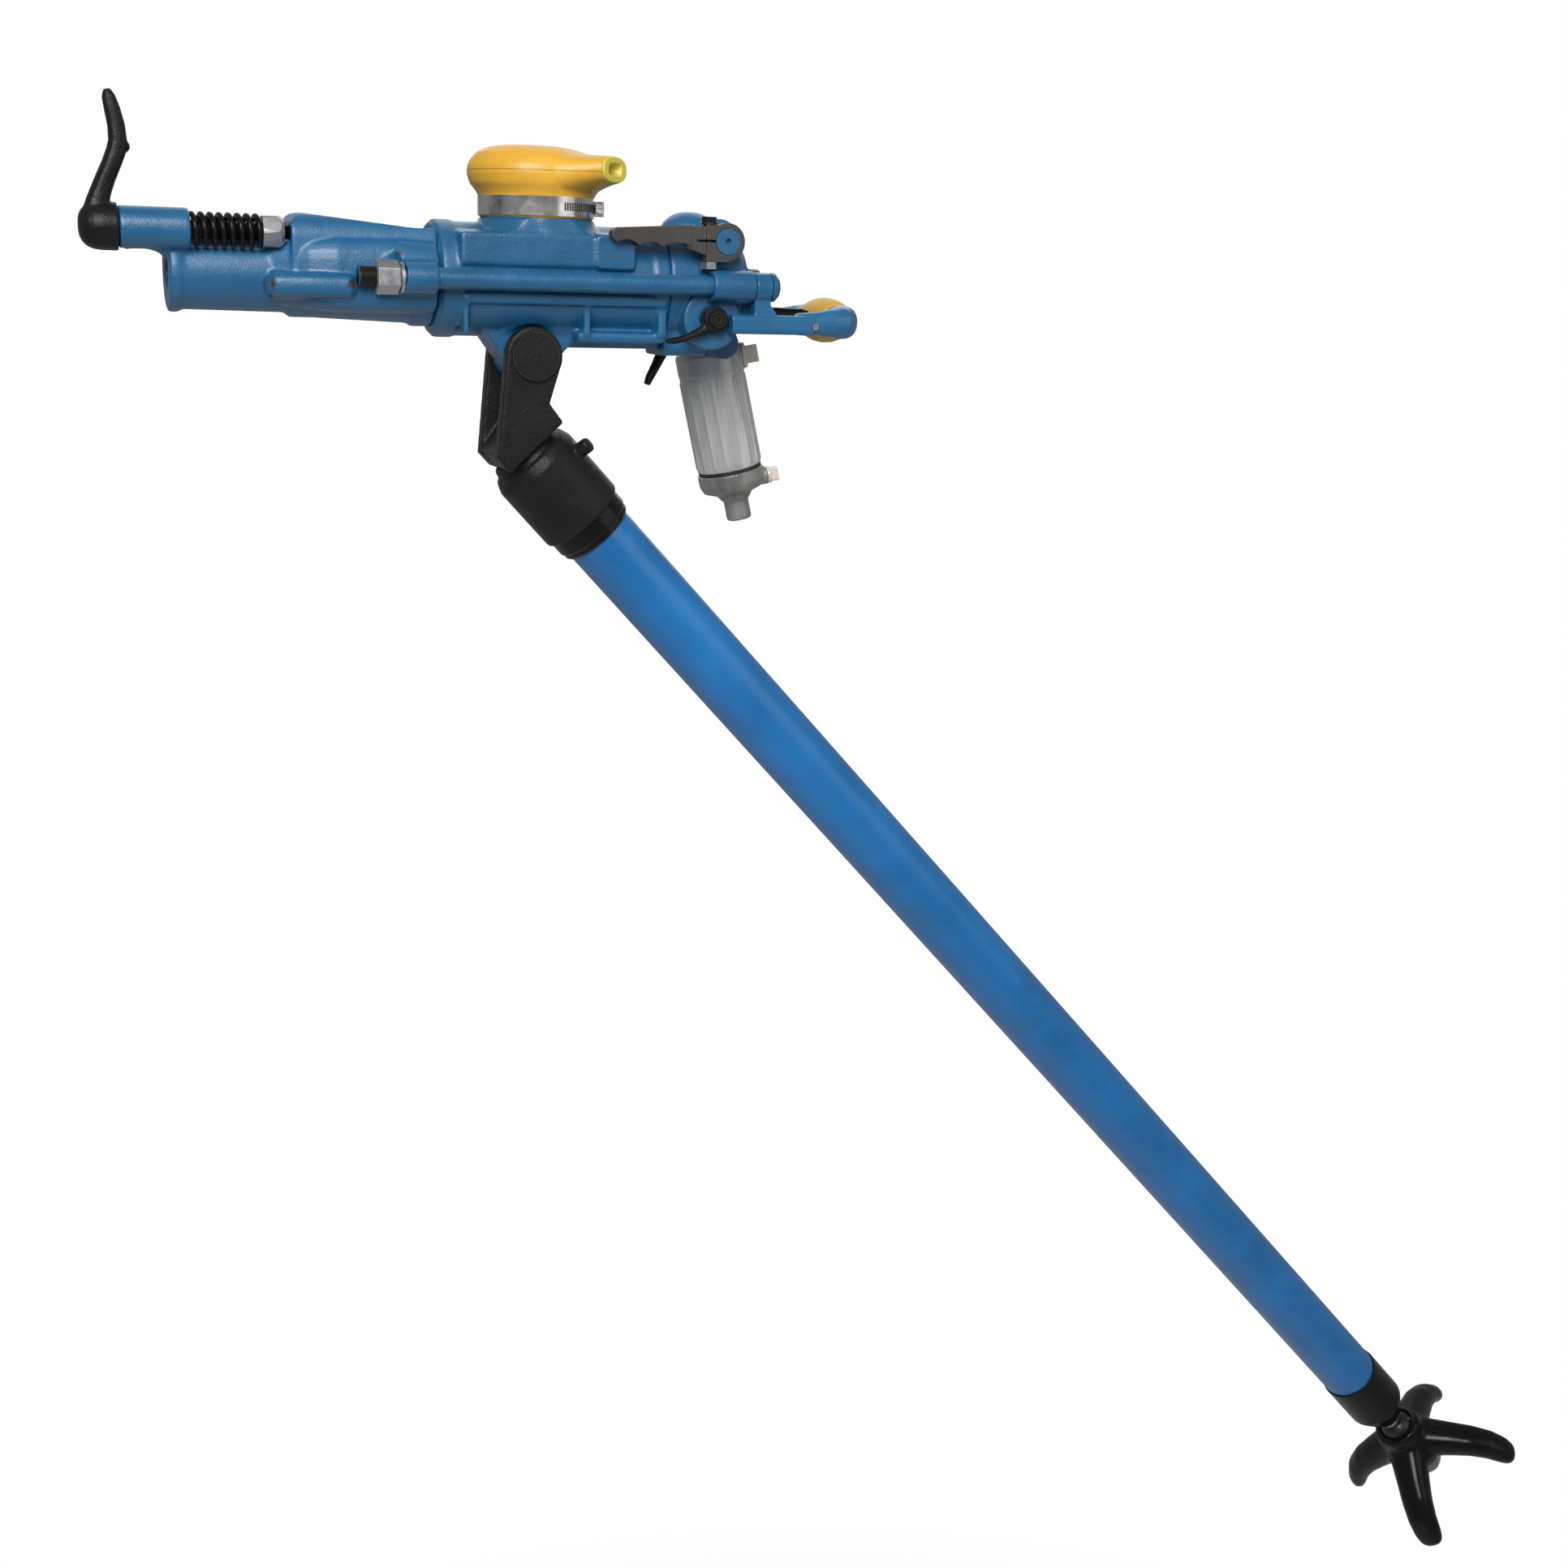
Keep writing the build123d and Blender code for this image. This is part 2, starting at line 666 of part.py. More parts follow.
# Cylinder casting
lug_radius = 25.0
port_length = 22.0
port_width = 54.0
with BuildPart() as cylinder:
    turned(
        [
            (head_joint_x + seat_gap, 0),
            (head_joint_x + seat_gap, barrel_radius - 2),
            (flange_strip_x, barrel_radius - 2),
            (flange_strip_x, flange_radius),
            (flange_strip_rear_x, flange_radius),
            (flange_strip_rear_x + 2, barrel_radius),
            (rear_flange_x - 2, barrel_radius),
            (rear_flange_x, flange_radius),
            (cylinder_end_x - 2, flange_radius),
            (cylinder_end_x, flange_radius - 2),
            (cylinder_end_x, 0),
        ]
    )
    add(exhaust_neck.part)
    for y_side in (-1, 1):
        with BuildSketch(side(y_side * name_panel_reach)):
            with Locations(
                ((name_panel_front_x + name_panel_rear_x) / 2, (name_panel_bottom + name_panel_top) / 2)
            ):
                RectangleRounded(
                    name_panel_rear_x - name_panel_front_x, name_panel_top - name_panel_bottom, 3
                )
        extrude(amount=y_side * 30, taper=-6)
        with BuildSketch(side(y_side * pad_panel_reach)):
            with Locations(
                ((name_panel_rear_x + pad_panel_rear_x) / 2, (name_panel_bottom + name_panel_top) / 2)
            ):
                RectangleRounded(
                    pad_panel_rear_x - name_panel_rear_x, name_panel_top - name_panel_bottom + 3, 5
                )
        extrude(amount=y_side * 32, taper=-4)
        slab(
            Plane.XY.offset((lower_rib_top + lower_rib_bottom) / 2),
            [
                (flange_strip_rear_x - 2, y_side * 30),
                (flange_strip_rear_x + 6, y_side * lower_rib_reach),
                (rear_flange_x - 6, y_side * lower_rib_reach),
                (rear_flange_x + 2, y_side * 30),
            ],
            (lower_rib_top - lower_rib_bottom) / 2,
        )
    with BuildSketch(across(bottom_rail_front_x)):
        with BuildLine():
            Polyline(
                (-34, -38),
                (-bottom_rail_half_width - 2, bottom_rail_z + 6),
                (-bottom_rail_half_width + 4, bottom_rail_z),
                (bottom_rail_half_width - 4, bottom_rail_z),
                (bottom_rail_half_width + 2, bottom_rail_z + 6),
                (34, -38),
                close=True,
            )
        make_face()
    extrude(amount=cylinder_end_x - bottom_rail_front_x)
    slab(
        Plane.XZ,
        [
            (leg_pivot_x - 46, -30),
            (leg_pivot_x - 44, -46),
            (leg_pivot_x - 22, leg_pivot_z - 8),
            (leg_pivot_x + 22, leg_pivot_z - 8),
            (leg_pivot_x + 40, bottom_rail_z + 4),
            (leg_pivot_x + 46, -30),
        ],
        lug_half_width,
    )
    bar(
        side(-lug_half_width),
        lug_radius,
        -2 * lug_half_width,
        (leg_pivot_x, leg_pivot_z),
    )
    for y_side in (-1, 1):
        bar(
            side(y_side * lug_half_width),
            yoke_eye_radius + 1.5,
            -y_side * 60,
            (leg_pivot_x, leg_pivot_z),
            Mode.SUBTRACT,
        )
    bar(
        side(-lug_half_width - 1),
        pivot_shaft_radius + running_gap,
        -2 * lug_half_width - 2,
        (leg_pivot_x, leg_pivot_z),
        Mode.SUBTRACT,
    )
    bar(
        across(head_joint_x),
        guide_bush_radius + seat_gap,
        guide_bush_rear_x - head_joint_x + seat_gap,
        mode=Mode.SUBTRACT,
    )
    bar(across(guide_bush_rear_x), cylinder_bore, 300, mode=Mode.SUBTRACT)
    bar(
        across(chest_front_x),
        chest_radius + seat_gap,
        cylinder_end_x - chest_front_x,
        mode=Mode.SUBTRACT,
    )
    bar(Plane.XY.offset(neck_shoulder_z), neck_bore, 40, (neck_x, 0), Mode.SUBTRACT)
    with BuildSketch(Plane.XY.offset(20)):
        with Locations((neck_x + piston_rear_x - neck_x + stroke / 2 - 8, 0)):
            SlotOverall(port_width, port_length, rotation=90)
    extrude(amount=60, mode=Mode.SUBTRACT)
    for y_side in (-1, 1):
        bar(across(200), rod_radius + 1, 300, (y_side * rod_offset, 0), Mode.SUBTRACT)
finish(cylinder, "cylinder")


def silencer_form(inset, top_drop, skirt_radius, skirt_from):
    """The rubber hood's closed form, smaller by an inset for the hollow."""
    with BuildPart() as form:
        bar(Plane.XY.offset(skirt_from), skirt_radius, silencer_skirt_top - skirt_from, (neck_x, 0))
        with BuildSketch(Plane.XY.offset(silencer_skirt_top)):
            with Locations((neck_x, 0)):
                Circle(skirt_radius)
        with BuildSketch(Plane.XY.offset(silencer_seam_z - 16)):
            with Locations((neck_x, 0)):
                Ellipse(silencer_nose_reach - 6 - inset, silencer_half_width - 1 - inset)
        with BuildSketch(Plane.XY.offset(silencer_seam_z)):
            with Locations((neck_x, 0)):
                Ellipse(silencer_nose_reach - inset, silencer_half_width + 4 - inset)
        with BuildSketch(Plane.XY.offset(silencer_top - 9 - top_drop)):
            with Locations((neck_x + 2, 0)):
                Ellipse(silencer_nose_reach - 8 - inset, silencer_half_width - 5 - inset)
        with BuildSketch(Plane.XY.offset(silencer_top - top_drop)):
            with Locations((neck_x + 8, 0)):
                Ellipse(silencer_nose_reach - 32 - inset, silencer_half_width - 30 - inset)
        loft(ruled=True)
    return form.part


def nozzle_form(inset, reach):
    """The flat outlet nozzle's closed form, leaving the hood at an angle to the drill."""
    heading = math.radians(-nozzle_turn)
    out = Vector(math.cos(heading), math.sin(heading), 0)
    root = Plane(origin=Vector(neck_x, 0, nozzle_axis_z - 5) + out * 8, x_dir=(0, 0, 1), z_dir=out)
    throat = Plane(
        origin=Vector(neck_x, 0, nozzle_axis_z - 1) + out * (reach - 24),
        x_dir=(0, 0, 1),
        z_dir=out,
    )
    mouth = Plane(origin=Vector(neck_x, 0, nozzle_axis_z) + out * reach, x_dir=(0, 0, 1), z_dir=out)
    with BuildPart() as form:
        with BuildSketch(root):
            RectangleRounded(34 - 2 * inset, 90 - 2 * inset, 14 - inset)
        with BuildSketch(throat):
            RectangleRounded(
                nozzle_height + 5 - 2 * inset,
                nozzle_width + 12 - 2 * inset,
                12 - inset,
            )
        with BuildSketch(mouth):
            RectangleRounded(nozzle_height - 2 * inset, nozzle_width - 2 * inset, 10 - inset)
        loft(ruled=True)
    return form.part


# Rubber exhaust silencer: a hood over the neck with a flat nozzle
skirt_inner = neck_spigot_radius + seat_gap
skirt_outer = neck_spigot_radius + silencer_wall
with BuildPart() as exhaust_silencer:
    add(silencer_form(0, 0, skirt_outer, neck_shoulder_z + seat_gap))
    add(nozzle_form(0, nozzle_reach))
    add(
        silencer_form(silencer_wall, silencer_wall, skirt_inner, neck_shoulder_z),
        mode=Mode.SUBTRACT,
    )
    add(nozzle_form(silencer_wall, nozzle_reach + 1), mode=Mode.SUBTRACT)
finish(exhaust_silencer, "exhaust_silencer")

# Worm-drive band round the silencer's skirt, with its screw housing
band_inner = skirt_outer + seat_gap
housing_side = Plane(origin=(neck_x, 0, clamp_bottom_z), x_dir=(1, 0, 0), z_dir=(0, 0, 1)).rotated(
    (0, 0, clamp_housing_turn)
)
housing_length = 17.0
housing_depth = 9.0
screw_radius = 3.6
with BuildPart() as silencer_clamp:
    bar(
        Plane.XY.offset(clamp_bottom_z),
        band_inner + clamp_thickness,
        clamp_top_z - clamp_bottom_z,
        (neck_x, 0),
    )
    with BuildSketch(housing_side.offset(2)):
        with Locations((band_inner + housing_depth / 2 + 0.5, 0)):
            RectangleRounded(housing_depth, housing_length, 2)
    extrude(amount=clamp_top_z - clamp_bottom_z - 4)
    bar(Plane.XY.offset(clamp_bottom_z - 1), band_inner, 40, (neck_x, 0), Mode.SUBTRACT)
    screw_side = Plane(
        origin=housing_side.origin,
        x_dir=housing_side.x_dir,
        z_dir=housing_side.y_dir,
    )
    with BuildSketch(screw_side) as hole:
        with Locations((band_inner + housing_depth / 2 + 0.5, -(clamp_top_z - clamp_bottom_z) / 2)):
            Circle(screw_radius + seat_gap)
    extrude(amount=40, both=True, mode=Mode.SUBTRACT)
finish(silencer_clamp, "silencer_clamp")

# Worm screw of the band
screw_centre = (
    housing_side.origin
    + housing_side.x_dir * (band_inner + housing_depth / 2 + 0.5)
    + Vector(0, 0, (clamp_top_z - clamp_bottom_z) / 2)
)
screw_plane = Plane(origin=screw_centre, x_dir=(0, 0, 1), z_dir=housing_side.y_dir)
with BuildPart() as clamp_screw:
    bar(screw_plane.offset(-housing_length / 2 - 1), screw_radius, housing_length + 3)
    hexagon_bar(screw_plane.offset(-housing_length / 2 - 6), 8, 5.5)
    with BuildSketch(screw_plane.offset(-housing_length / 2 - 6)):
        Rectangle(1.2, 10)
    extrude(amount=1.6, mode=Mode.SUBTRACT)
finish(clamp_screw, "clamp_screw")

# Through rods, their front nuts and washers
rod_head_x = rod_boss_rear_x + sliding_gap + strap_length
with BuildPart() as side_rods:
    for y_side in (-1, 1):
        bar(
            across(rod_ear_rear_x),
            rod_radius,
            rod_head_x - rod_ear_rear_x,
            (y_side * rod_offset, 0),
        )
        bar(
            across(rod_front_x),
            rod_thread_radius,
            rod_ear_rear_x - rod_front_x,
            (y_side * rod_offset, 0),
        )
        turned(
            [
                (rod_head_x, 0),
                (rod_head_x, rod_head_radius),
                (rod_head_x + 4, rod_head_radius),
                (rod_head_x + 8, rod_head_radius - 4),
                (rod_head_x + rod_head_length, 4),
                (rod_head_x + rod_head_length, 0),
            ],
            axis=Axis((0, y_side * rod_offset, 0), (1, 0, 0)),
            base=Plane(origin=(0, y_side * rod_offset, 0), x_dir=(1, 0, 0), z_dir=(0, -1, 0)),
        )
finish(side_rods, "side_rods")

washer_x = rod_ear_front_x - rod_washer_thickness - seat_gap
with BuildPart() as side_rod_washers:
    for y_side in (-1, 1):
        bar(
            across(washer_x),
            rod_nut_flats / 2 + 0.5,
            rod_washer_thickness,
            (y_side * rod_offset, 0),
        )
        bar(
            across(washer_x),
            rod_hole,
            rod_washer_thickness,
            (y_side * rod_offset, 0),
            Mode.SUBTRACT,
        )
finish(side_rod_washers, "side_rod_washers")

rod_nut_x = washer_x - rod_nut_length - seat_gap
with BuildPart() as side_rod_nuts:
    for y_side in (-1, 1):
        hexagon_bar(across(rod_nut_x), rod_nut_flats, rod_nut_length, (y_side * rod_offset, 0), 30)
        bar(
            across(rod_nut_x),
            rod_thread_radius + seat_gap,
            rod_nut_length,
            (y_side * rod_offset, 0),
            Mode.SUBTRACT,
        )
finish(side_rod_nuts, "side_rod_nuts")

# Rear head casting: crown over the valve drum
with BuildPart() as rear_crown:
    with BuildSketch(Plane(origin=(crown_x, 0, 0), x_dir=(1, 0, 0), z_dir=(0, -1, 0))):
        with BuildLine():
            Line((0, 30), (0, crown_top_z))
            ThreePointArc(
                (0, crown_top_z),
                (crown_radius * 0.62, crown_top_z - 3.2),
                (crown_radius - 1, crown_base_z + 2),
            )
            Line((crown_radius - 1, crown_base_z + 2), (crown_radius, crown_base_z))
            Line((crown_radius, crown_base_z), (crown_radius + 3, 30))
            Line((crown_radius + 3, 30), (0, 30))
        make_face()
    revolve(axis=Axis((crown_x, 0, 0), (0, 0, 1)))

# Rear head casting
inlet_boss_root = 16.0
with BuildPart() as rear_head:
    turned(
        [
            (cylinder_end_x + seat_gap, 0),
            (cylinder_end_x + seat_gap, rear_body_radius - 1.5),
            (cylinder_end_x + 2, rear_body_radius),
            (rod_boss_rear_x - 8, rear_body_radius),
            (rod_boss_rear_x + 4, rear_body_radius - 12),
            (rod_boss_rear_x + 5, 0),
        ]
    )
    with BuildSketch(across(rear_low_rear_x)):
        with Locations((0, -8)):
            RectangleRounded(2 * rear_body_half_width - 8, 50, 12)
    extrude(amount=rear_head_end_x - rear_low_rear_x)
    with BuildSketch(across(cylinder_end_x + seat_gap)):
        with Locations((0, rear_low_bottom_z / 2)):
            RectangleRounded(2 * rear_low_half_width, -rear_low_bottom_z, 9)
    extrude(amount=rear_low_rear_x - cylinder_end_x)
    add(rear_crown.part)
    bar(side(-drum_reach), drum_radius, -2 * drum_reach, (throttle_x, throttle_z))
    bar(
        side(-regulator_boss_reach),
        regulator_boss_radius,
        -regulator_boss_reach - rear_body_half_width,
        (regulator_x, regulator_z),
    )
    with BuildSketch(across(rod_boss_front_x)):
        SlotOverall(2 * (rod_offset + rod_boss_radius), 2 * rod_boss_radius)
    extrude(amount=rod_boss_rear_x - rod_boss_front_x)
    slab(
        side(inlet_boss_root + (inlet_boss_reach - inlet_boss_root) / 2),
        [
            (inlet_x - inlet_boss_radius, inlet_z),
            (inlet_x - inlet_boss_radius - 6, -20),
            (inlet_x + 4, -20),
            (inlet_x + inlet_boss_radius, inlet_z),
        ],
        (inlet_boss_reach - inlet_boss_root) / 2,
    )
    bar(
        side(inlet_boss_root),
        inlet_boss_radius,
        inlet_boss_root - inlet_boss_reach,
        (inlet_x, inlet_z),
    )
    bar(
        side(-regulator_boss_reach - 1),
        regulator_valve_radius + running_gap,
        -200,
        (regulator_x, regulator_z),
        Mode.SUBTRACT,
    )
    bar(
        side(-drum_reach - 1),
        throttle_valve_radius + running_gap,
        -2 * drum_reach + 5,
        (throttle_x, throttle_z),
        Mode.SUBTRACT,
    )
    bar(side(inlet_boss_root + 6), elbow_bore, -60, (inlet_x, inlet_z), Mode.SUBTRACT)
    bar(
        side(inlet_boss_reach - 10),
        elbow_radius - 1 + running_gap,
        -60,
        (inlet_x, inlet_z),
        Mode.SUBTRACT,
    )
    bar(across(cylinder_end_x - 1), 7, throttle_x - cylinder_end_x, (0, 30), Mode.SUBTRACT)
    bar(across(cylinder_end_x - 1), needle_radius + seat_gap, 200, mode=Mode.SUBTRACT)
    for y_side in (-1, 1):
        bar(
            across(rod_boss_front_x - 1),
            rod_hole,
            rod_boss_rear_x - rod_boss_front_x + 60,
            (y_side * rod_offset, 0),
            Mode.SUBTRACT,
        )
        bar(
            across(cylinder_end_x),
            rod_radius + 1,
            rod_boss_front_x - cylinder_end_x,
            (y_side * rod_offset, 0),
            Mode.SUBTRACT,
        )
finish(rear_head, "rear_head")

# Handle frame: two straps round the through rods, side bars and a bent cross tube
strap_x = rod_boss_rear_x + sliding_gap / 2
handle_side = rod_offset + 1.5
bar_end_x = grip_x - handle_bend_radius - 4
with BuildPart() as handle_frame:
    for y_side in (-1, 1):
        bar(across(strap_x), strap_radius, strap_length, (y_side * rod_offset, 0))
        slab(
            side(y_side * rod_offset),
            [
                (strap_x, 0),
                (strap_x, handle_bar_z),
                (strap_x + strap_length + 14, handle_bar_z),
                (strap_x + strap_length, -rod_head_radius - 3),
                (strap_x + strap_length, 0),
            ],
            7,
        )
        with BuildSketch(across(handle_front_x)):
            with Locations((y_side * handle_side, handle_bar_z)):
                RectangleRounded(handle_bar_thickness, handle_bar_height, 4)
        extrude(amount=bar_end_x - handle_front_x + 6)
    with BuildLine() as cross_path:
        FilletPolyline(
            (bar_end_x - 6, -handle_side, grip_z),
            (grip_x, -handle_side, grip_z),
            (grip_x, handle_side, grip_z),
            (bar_end_x - 6, handle_side, grip_z),
            radius=handle_bend_radius,
        )
    with BuildSketch(Plane(origin=cross_path.line @ 0, z_dir=cross_path.line % 0)):
        Circle(handle_tube_radius)
    sweep(path=cross_path.line)
    for y_side in (-1, 1):
        bar(
            across(strap_x - 1),
            rod_radius + seat_gap,
            strap_length + 2,
            (y_side * rod_offset, 0),
            Mode.SUBTRACT,
        )
    bar(
        side(-100),
        trigger_pin_radius + seat_gap,
        -200,
        (trigger_pin_x, trigger_pin_z),
        Mode.SUBTRACT,
    )
finish(handle_frame, "handle_frame")

# Rubber grip on the cross tube
with BuildPart() as handle_grip:
    with BuildSketch(Plane(origin=(grip_x, 0, grip_z), x_dir=(1, 0, 0), z_dir=(0, 0, 1))):
        with BuildLine():
            Polyline(
                (0, -grip_half_length),
                (grip_end_radius - 2, -grip_half_length),
                (grip_end_radius, -grip_half_length + 3),
                (grip_radius - 0.8, -grip_half_length / 2),
                (grip_radius, -grip_half_length / 6),
                (grip_radius, grip_half_length / 6),
                (grip_radius - 0.8, grip_half_length / 2),
                (grip_end_radius, grip_half_length - 3),
                (grip_end_radius - 2, grip_half_length),
                (0, grip_half_length),
                close=True,
            )
        make_face()
    revolve(axis=Axis((grip_x, 0, grip_z), (0, 1, 0)))
    bar(side(-100), handle_tube_radius + seat_gap, -200, (grip_x, grip_z), Mode.SUBTRACT)
finish(handle_grip, "handle_grip")

# Retract trigger in front of the grip, on its pin between the handle's bars
trigger_half = handle_side - handle_bar_thickness / 2 - 1
with BuildPart() as trigger_pin:
    bar(
        side(-handle_side - handle_bar_thickness / 2 - 1),
        trigger_pin_radius,
        -2 * handle_side - handle_bar_thickness - 2,
        (trigger_pin_x, trigger_pin_z),
    )
finish(trigger_pin, "trigger_pin")

with BuildPart() as retract_trigger:
    bar(
        side(-trigger_half),
        trigger_pin_radius + 3.5,
        -2 * trigger_half,
        (trigger_pin_x, trigger_pin_z),
    )
    with BuildSketch(Plane.XZ):
        with BuildLine():
            Polyline(
                (trigger_pin_x - 4, trigger_pin_z),
                (trigger_pin_x - 3, trigger_pin_z + trigger_rise - 6),
                (trigger_pin_x - 9, trigger_pin_z + trigger_rise),
                (trigger_pin_x - 5, trigger_pin_z + trigger_rise + 2),
                (trigger_pin_x + 3, trigger_pin_z + trigger_rise - 4),
                (trigger_pin_x + 4, trigger_pin_z),
                close=True,
            )
        make_face()
    extrude(amount=trigger_half - 8, both=True)
    bar(
        side(-trigger_half - 1),
        trigger_pin_radius + running_gap,
        -2 * trigger_half - 2,
        (trigger_pin_x, trigger_pin_z),
        Mode.SUBTRACT,
    )
finish(retract_trigger, "retract_trigger")

# Throttle lever: split block on the valve's neck, webbed arm with a scalloped underside
lever_hub_top = 54.0
lever_hub_front_x = 484.5
lever_block_bottom = 21.8
throttle_neck_radius = 12.0
slit_width = 2.4
with BuildPart() as throttle_lever:
    slab(
        side(throttle_lever_y),
        [
            (lever_hub_front_x, lever_block_bottom),
            (lever_hub_front_x, lever_hub_top + 2),
            (throttle_bolt_x + 9, lever_hub_top + 2),
            (throttle_x, throttle_z + 17),
            (throttle_x + 8, lever_block_bottom + 3),
            (throttle_x, lever_block_bottom),
        ],
        throttle_lever_thickness / 2,
    )
    bar(
        side(throttle_lever_y - throttle_lever_thickness / 2),
        17.3,
        -throttle_lever_thickness,
        (throttle_x, throttle_z),
    )
    slab(
        side(throttle_lever_y),
        [
            (lever_hub_front_x + 1, lever_block_bottom + 6),
            (lever_hub_front_x + 1, lever_hub_top),
            (466, lever_hub_top),
            (466, 34),
        ],
        throttle_lever_thickness / 2 - 3,
    )
    with BuildSketch(side(throttle_lever_y)):
        with BuildLine():
            Line((470, lever_hub_top + 1), (throttle_tip_x + 7, 50.5))
            ThreePointArc(
                (throttle_tip_x + 7, 50.5),
                (throttle_tip_x, 43),
                (throttle_tip_x + 6, 37.5),
            )
            ThreePointArc(
                (throttle_tip_x + 6, 37.5),
                (throttle_tip_x + 17, 39.5),
                (throttle_tip_x + 27, 34.5),
            )
            ThreePointArc(
                (throttle_tip_x + 27, 34.5),
                (throttle_tip_x + 38, 38),
                (throttle_tip_x + 49, 34),
            )
            ThreePointArc((throttle_tip_x + 49, 34), (throttle_tip_x + 60, 38), (470, 35))
            Line((470, 35), (470, lever_hub_top + 1))
        make_face()
    extrude(amount=throttle_lever_thickness / 2 - 1, both=True)
    bar(
        side(throttle_lever_y - throttle_lever_thickness / 2 - 1),
        throttle_neck_radius + seat_gap,
        -throttle_lever_thickness - 2,
        (throttle_x, throttle_z),
        Mode.SUBTRACT,
    )
    with BuildSketch(side(throttle_lever_y)):
        with Locations((throttle_x - throttle_neck_radius - 8, throttle_z)):
            Rectangle(20, slit_width)
    extrude(amount=throttle_lever_thickness, both=True, mode=Mode.SUBTRACT)
    bar(
        Plane.XY.offset(0),
        throttle_bolt_radius + seat_gap,
        90,
        (throttle_bolt_x, throttle_lever_y),
        Mode.SUBTRACT,
    )
finish(throttle_lever, "throttle_lever")

clamp_bolt_top = lever_hub_top + 2 + seat_gap
clamp_nut_thickness = 6.5
clamp_bolt_end = lever_block_bottom - clamp_nut_thickness + 0.2
with BuildPart() as throttle_clamp_bolt:
    bar(
        Plane.XY.offset(clamp_bolt_end),
        throttle_bolt_radius,
        clamp_bolt_top - clamp_bolt_end,
        (throttle_bolt_x, throttle_lever_y),
    )
    hexagon_bar(Plane.XY.offset(clamp_bolt_top + 1), 13, 6, (throttle_bolt_x, throttle_lever_y))
    bar(Plane.XY.offset(clamp_bolt_top), 8, 1.2, (throttle_bolt_x, throttle_lever_y))
finish(throttle_clamp_bolt, "throttle_clamp_bolt")

with BuildPart() as throttle_clamp_nut:
    hexagon_bar(
        Plane.XY.offset(lever_block_bottom - seat_gap - clamp_nut_thickness),
        15,
        clamp_nut_thickness,
        (throttle_bolt_x, throttle_lever_y),
    )
    bar(
        Plane.XY.offset(0),
        throttle_bolt_radius + seat_gap,
        90,
        (throttle_bolt_x, throttle_lever_y),
        Mode.SUBTRACT,
    )
finish(throttle_clamp_nut, "throttle_clamp_nut")

# Throttle plug valve with its air window
lever_outer_y = throttle_lever_y - throttle_lever_thickness / 2
valve_far_y = drum_reach - 7.0
with BuildPart() as throttle_valve:
    bar(
        side(-drum_reach),
        throttle_valve_radius,
        -drum_reach - valve_far_y,
        (throttle_x, throttle_z),
    )
    bar(
        side(lever_outer_y - 1),
        throttle_neck_radius,
        lever_outer_y - 1 + drum_reach,
        (throttle_x, throttle_z),
    )
    bar(side(lever_outer_y - 2), 3, -5, (throttle_x, throttle_z), Mode.SUBTRACT)
    bar(side(-drum_reach + 14), 9, -drum_reach - 22, (throttle_x, throttle_z), Mode.SUBTRACT)
    with BuildSketch(Plane.YZ.offset(throttle_x - 30)):
        with Locations((0, throttle_z - 5)):
            SlotOverall(36, 12)
    extrude(amount=30, mode=Mode.SUBTRACT)
finish(throttle_valve, "throttle_valve")

# Regulator shaft, near lever, far lever and its screw
near_lever_rear_y = -regulator_boss_reach - 1.0 - 0.3
far_lever_front_y = rear_body_half_width + 1.3
regulator_thickness = 12.0
regulator_seat_radius = 8.0
with BuildPart() as regulator_valve:
    bar(
        side(-regulator_boss_reach),
        regulator_valve_radius,
        -regulator_boss_reach - rear_body_half_width,
        (regulator_x, regulator_z),
    )
    bar(
        side(near_lever_rear_y - regulator_thickness + 1),
        regulator_seat_radius,
        -(-near_lever_rear_y + regulator_thickness + far_lever_front_y + regulator_thickness - 1),
        (regulator_x, regulator_z),
    )
    bar(
        side(near_lever_rear_y - regulator_thickness - 10),
        3,
        -26,
        (regulator_x, regulator_z),
        Mode.SUBTRACT,
    )
finish(regulator_valve, "regulator_valve")

with BuildPart() as regulator_lever:
    bar(
        side(near_lever_rear_y - regulator_thickness),
        regulator_hub_radius,
        -regulator_thickness,
        (regulator_x, regulator_z),
    )
    slab(
        side(near_lever_rear_y - regulator_thickness / 2),
        [
            (regulator_x - 2, regulator_z + regulator_hub_radius - 1),
            (regulator_tip_x + 5, regulator_tip_z + 8),
            (regulator_tip_x - 3, regulator_tip_z + 2),
            (regulator_tip_x - 2, regulator_tip_z - 6),
            (regulator_tip_x + 6, regulator_tip_z - 9),
            (regulator_x - 6, regulator_z - regulator_hub_radius + 1),
            (regulator_x, regulator_z - regulator_hub_radius - 1.5),
            (regulator_x + 8, regulator_z - regulator_hub_radius + 1),
            (regulator_x + regulator_hub_radius - 2, regulator_z - 2),
        ],
        regulator_thickness / 2 - 1,
    )
    bar(
        side(-100),
        regulator_seat_radius + seat_gap,
        -60,
        (regulator_x, regulator_z),
        Mode.SUBTRACT,
    )
finish(regulator_lever, "regulator_lever")

with BuildPart() as regulator_lever_far:
    bar(
        side(far_lever_front_y),
        regulator_hub_radius,
        -regulator_thickness,
        (regulator_x, regulator_z),
    )
    slab(
        side(far_lever_front_y + regulator_thickness / 2),
        [
            (regulator_x - 11, regulator_z),
            (regulator_x - 18, regulator_z - 30),
            (regulator_x - 36, regulator_z - 62),
            (regulator_x - 31, regulator_z - 69),
            (regulator_x - 22, regulator_z - 69),
            (regulator_x - 4, regulator_z - 34),
            (regulator_x + 6, regulator_z - 8),
        ],
        regulator_thickness / 2 - 1,
    )
    bar(side(40), regulator_seat_radius + seat_gap, -60, (regulator_x, regulator_z), Mode.SUBTRACT)
finish(regulator_lever_far, "regulator_lever_far")

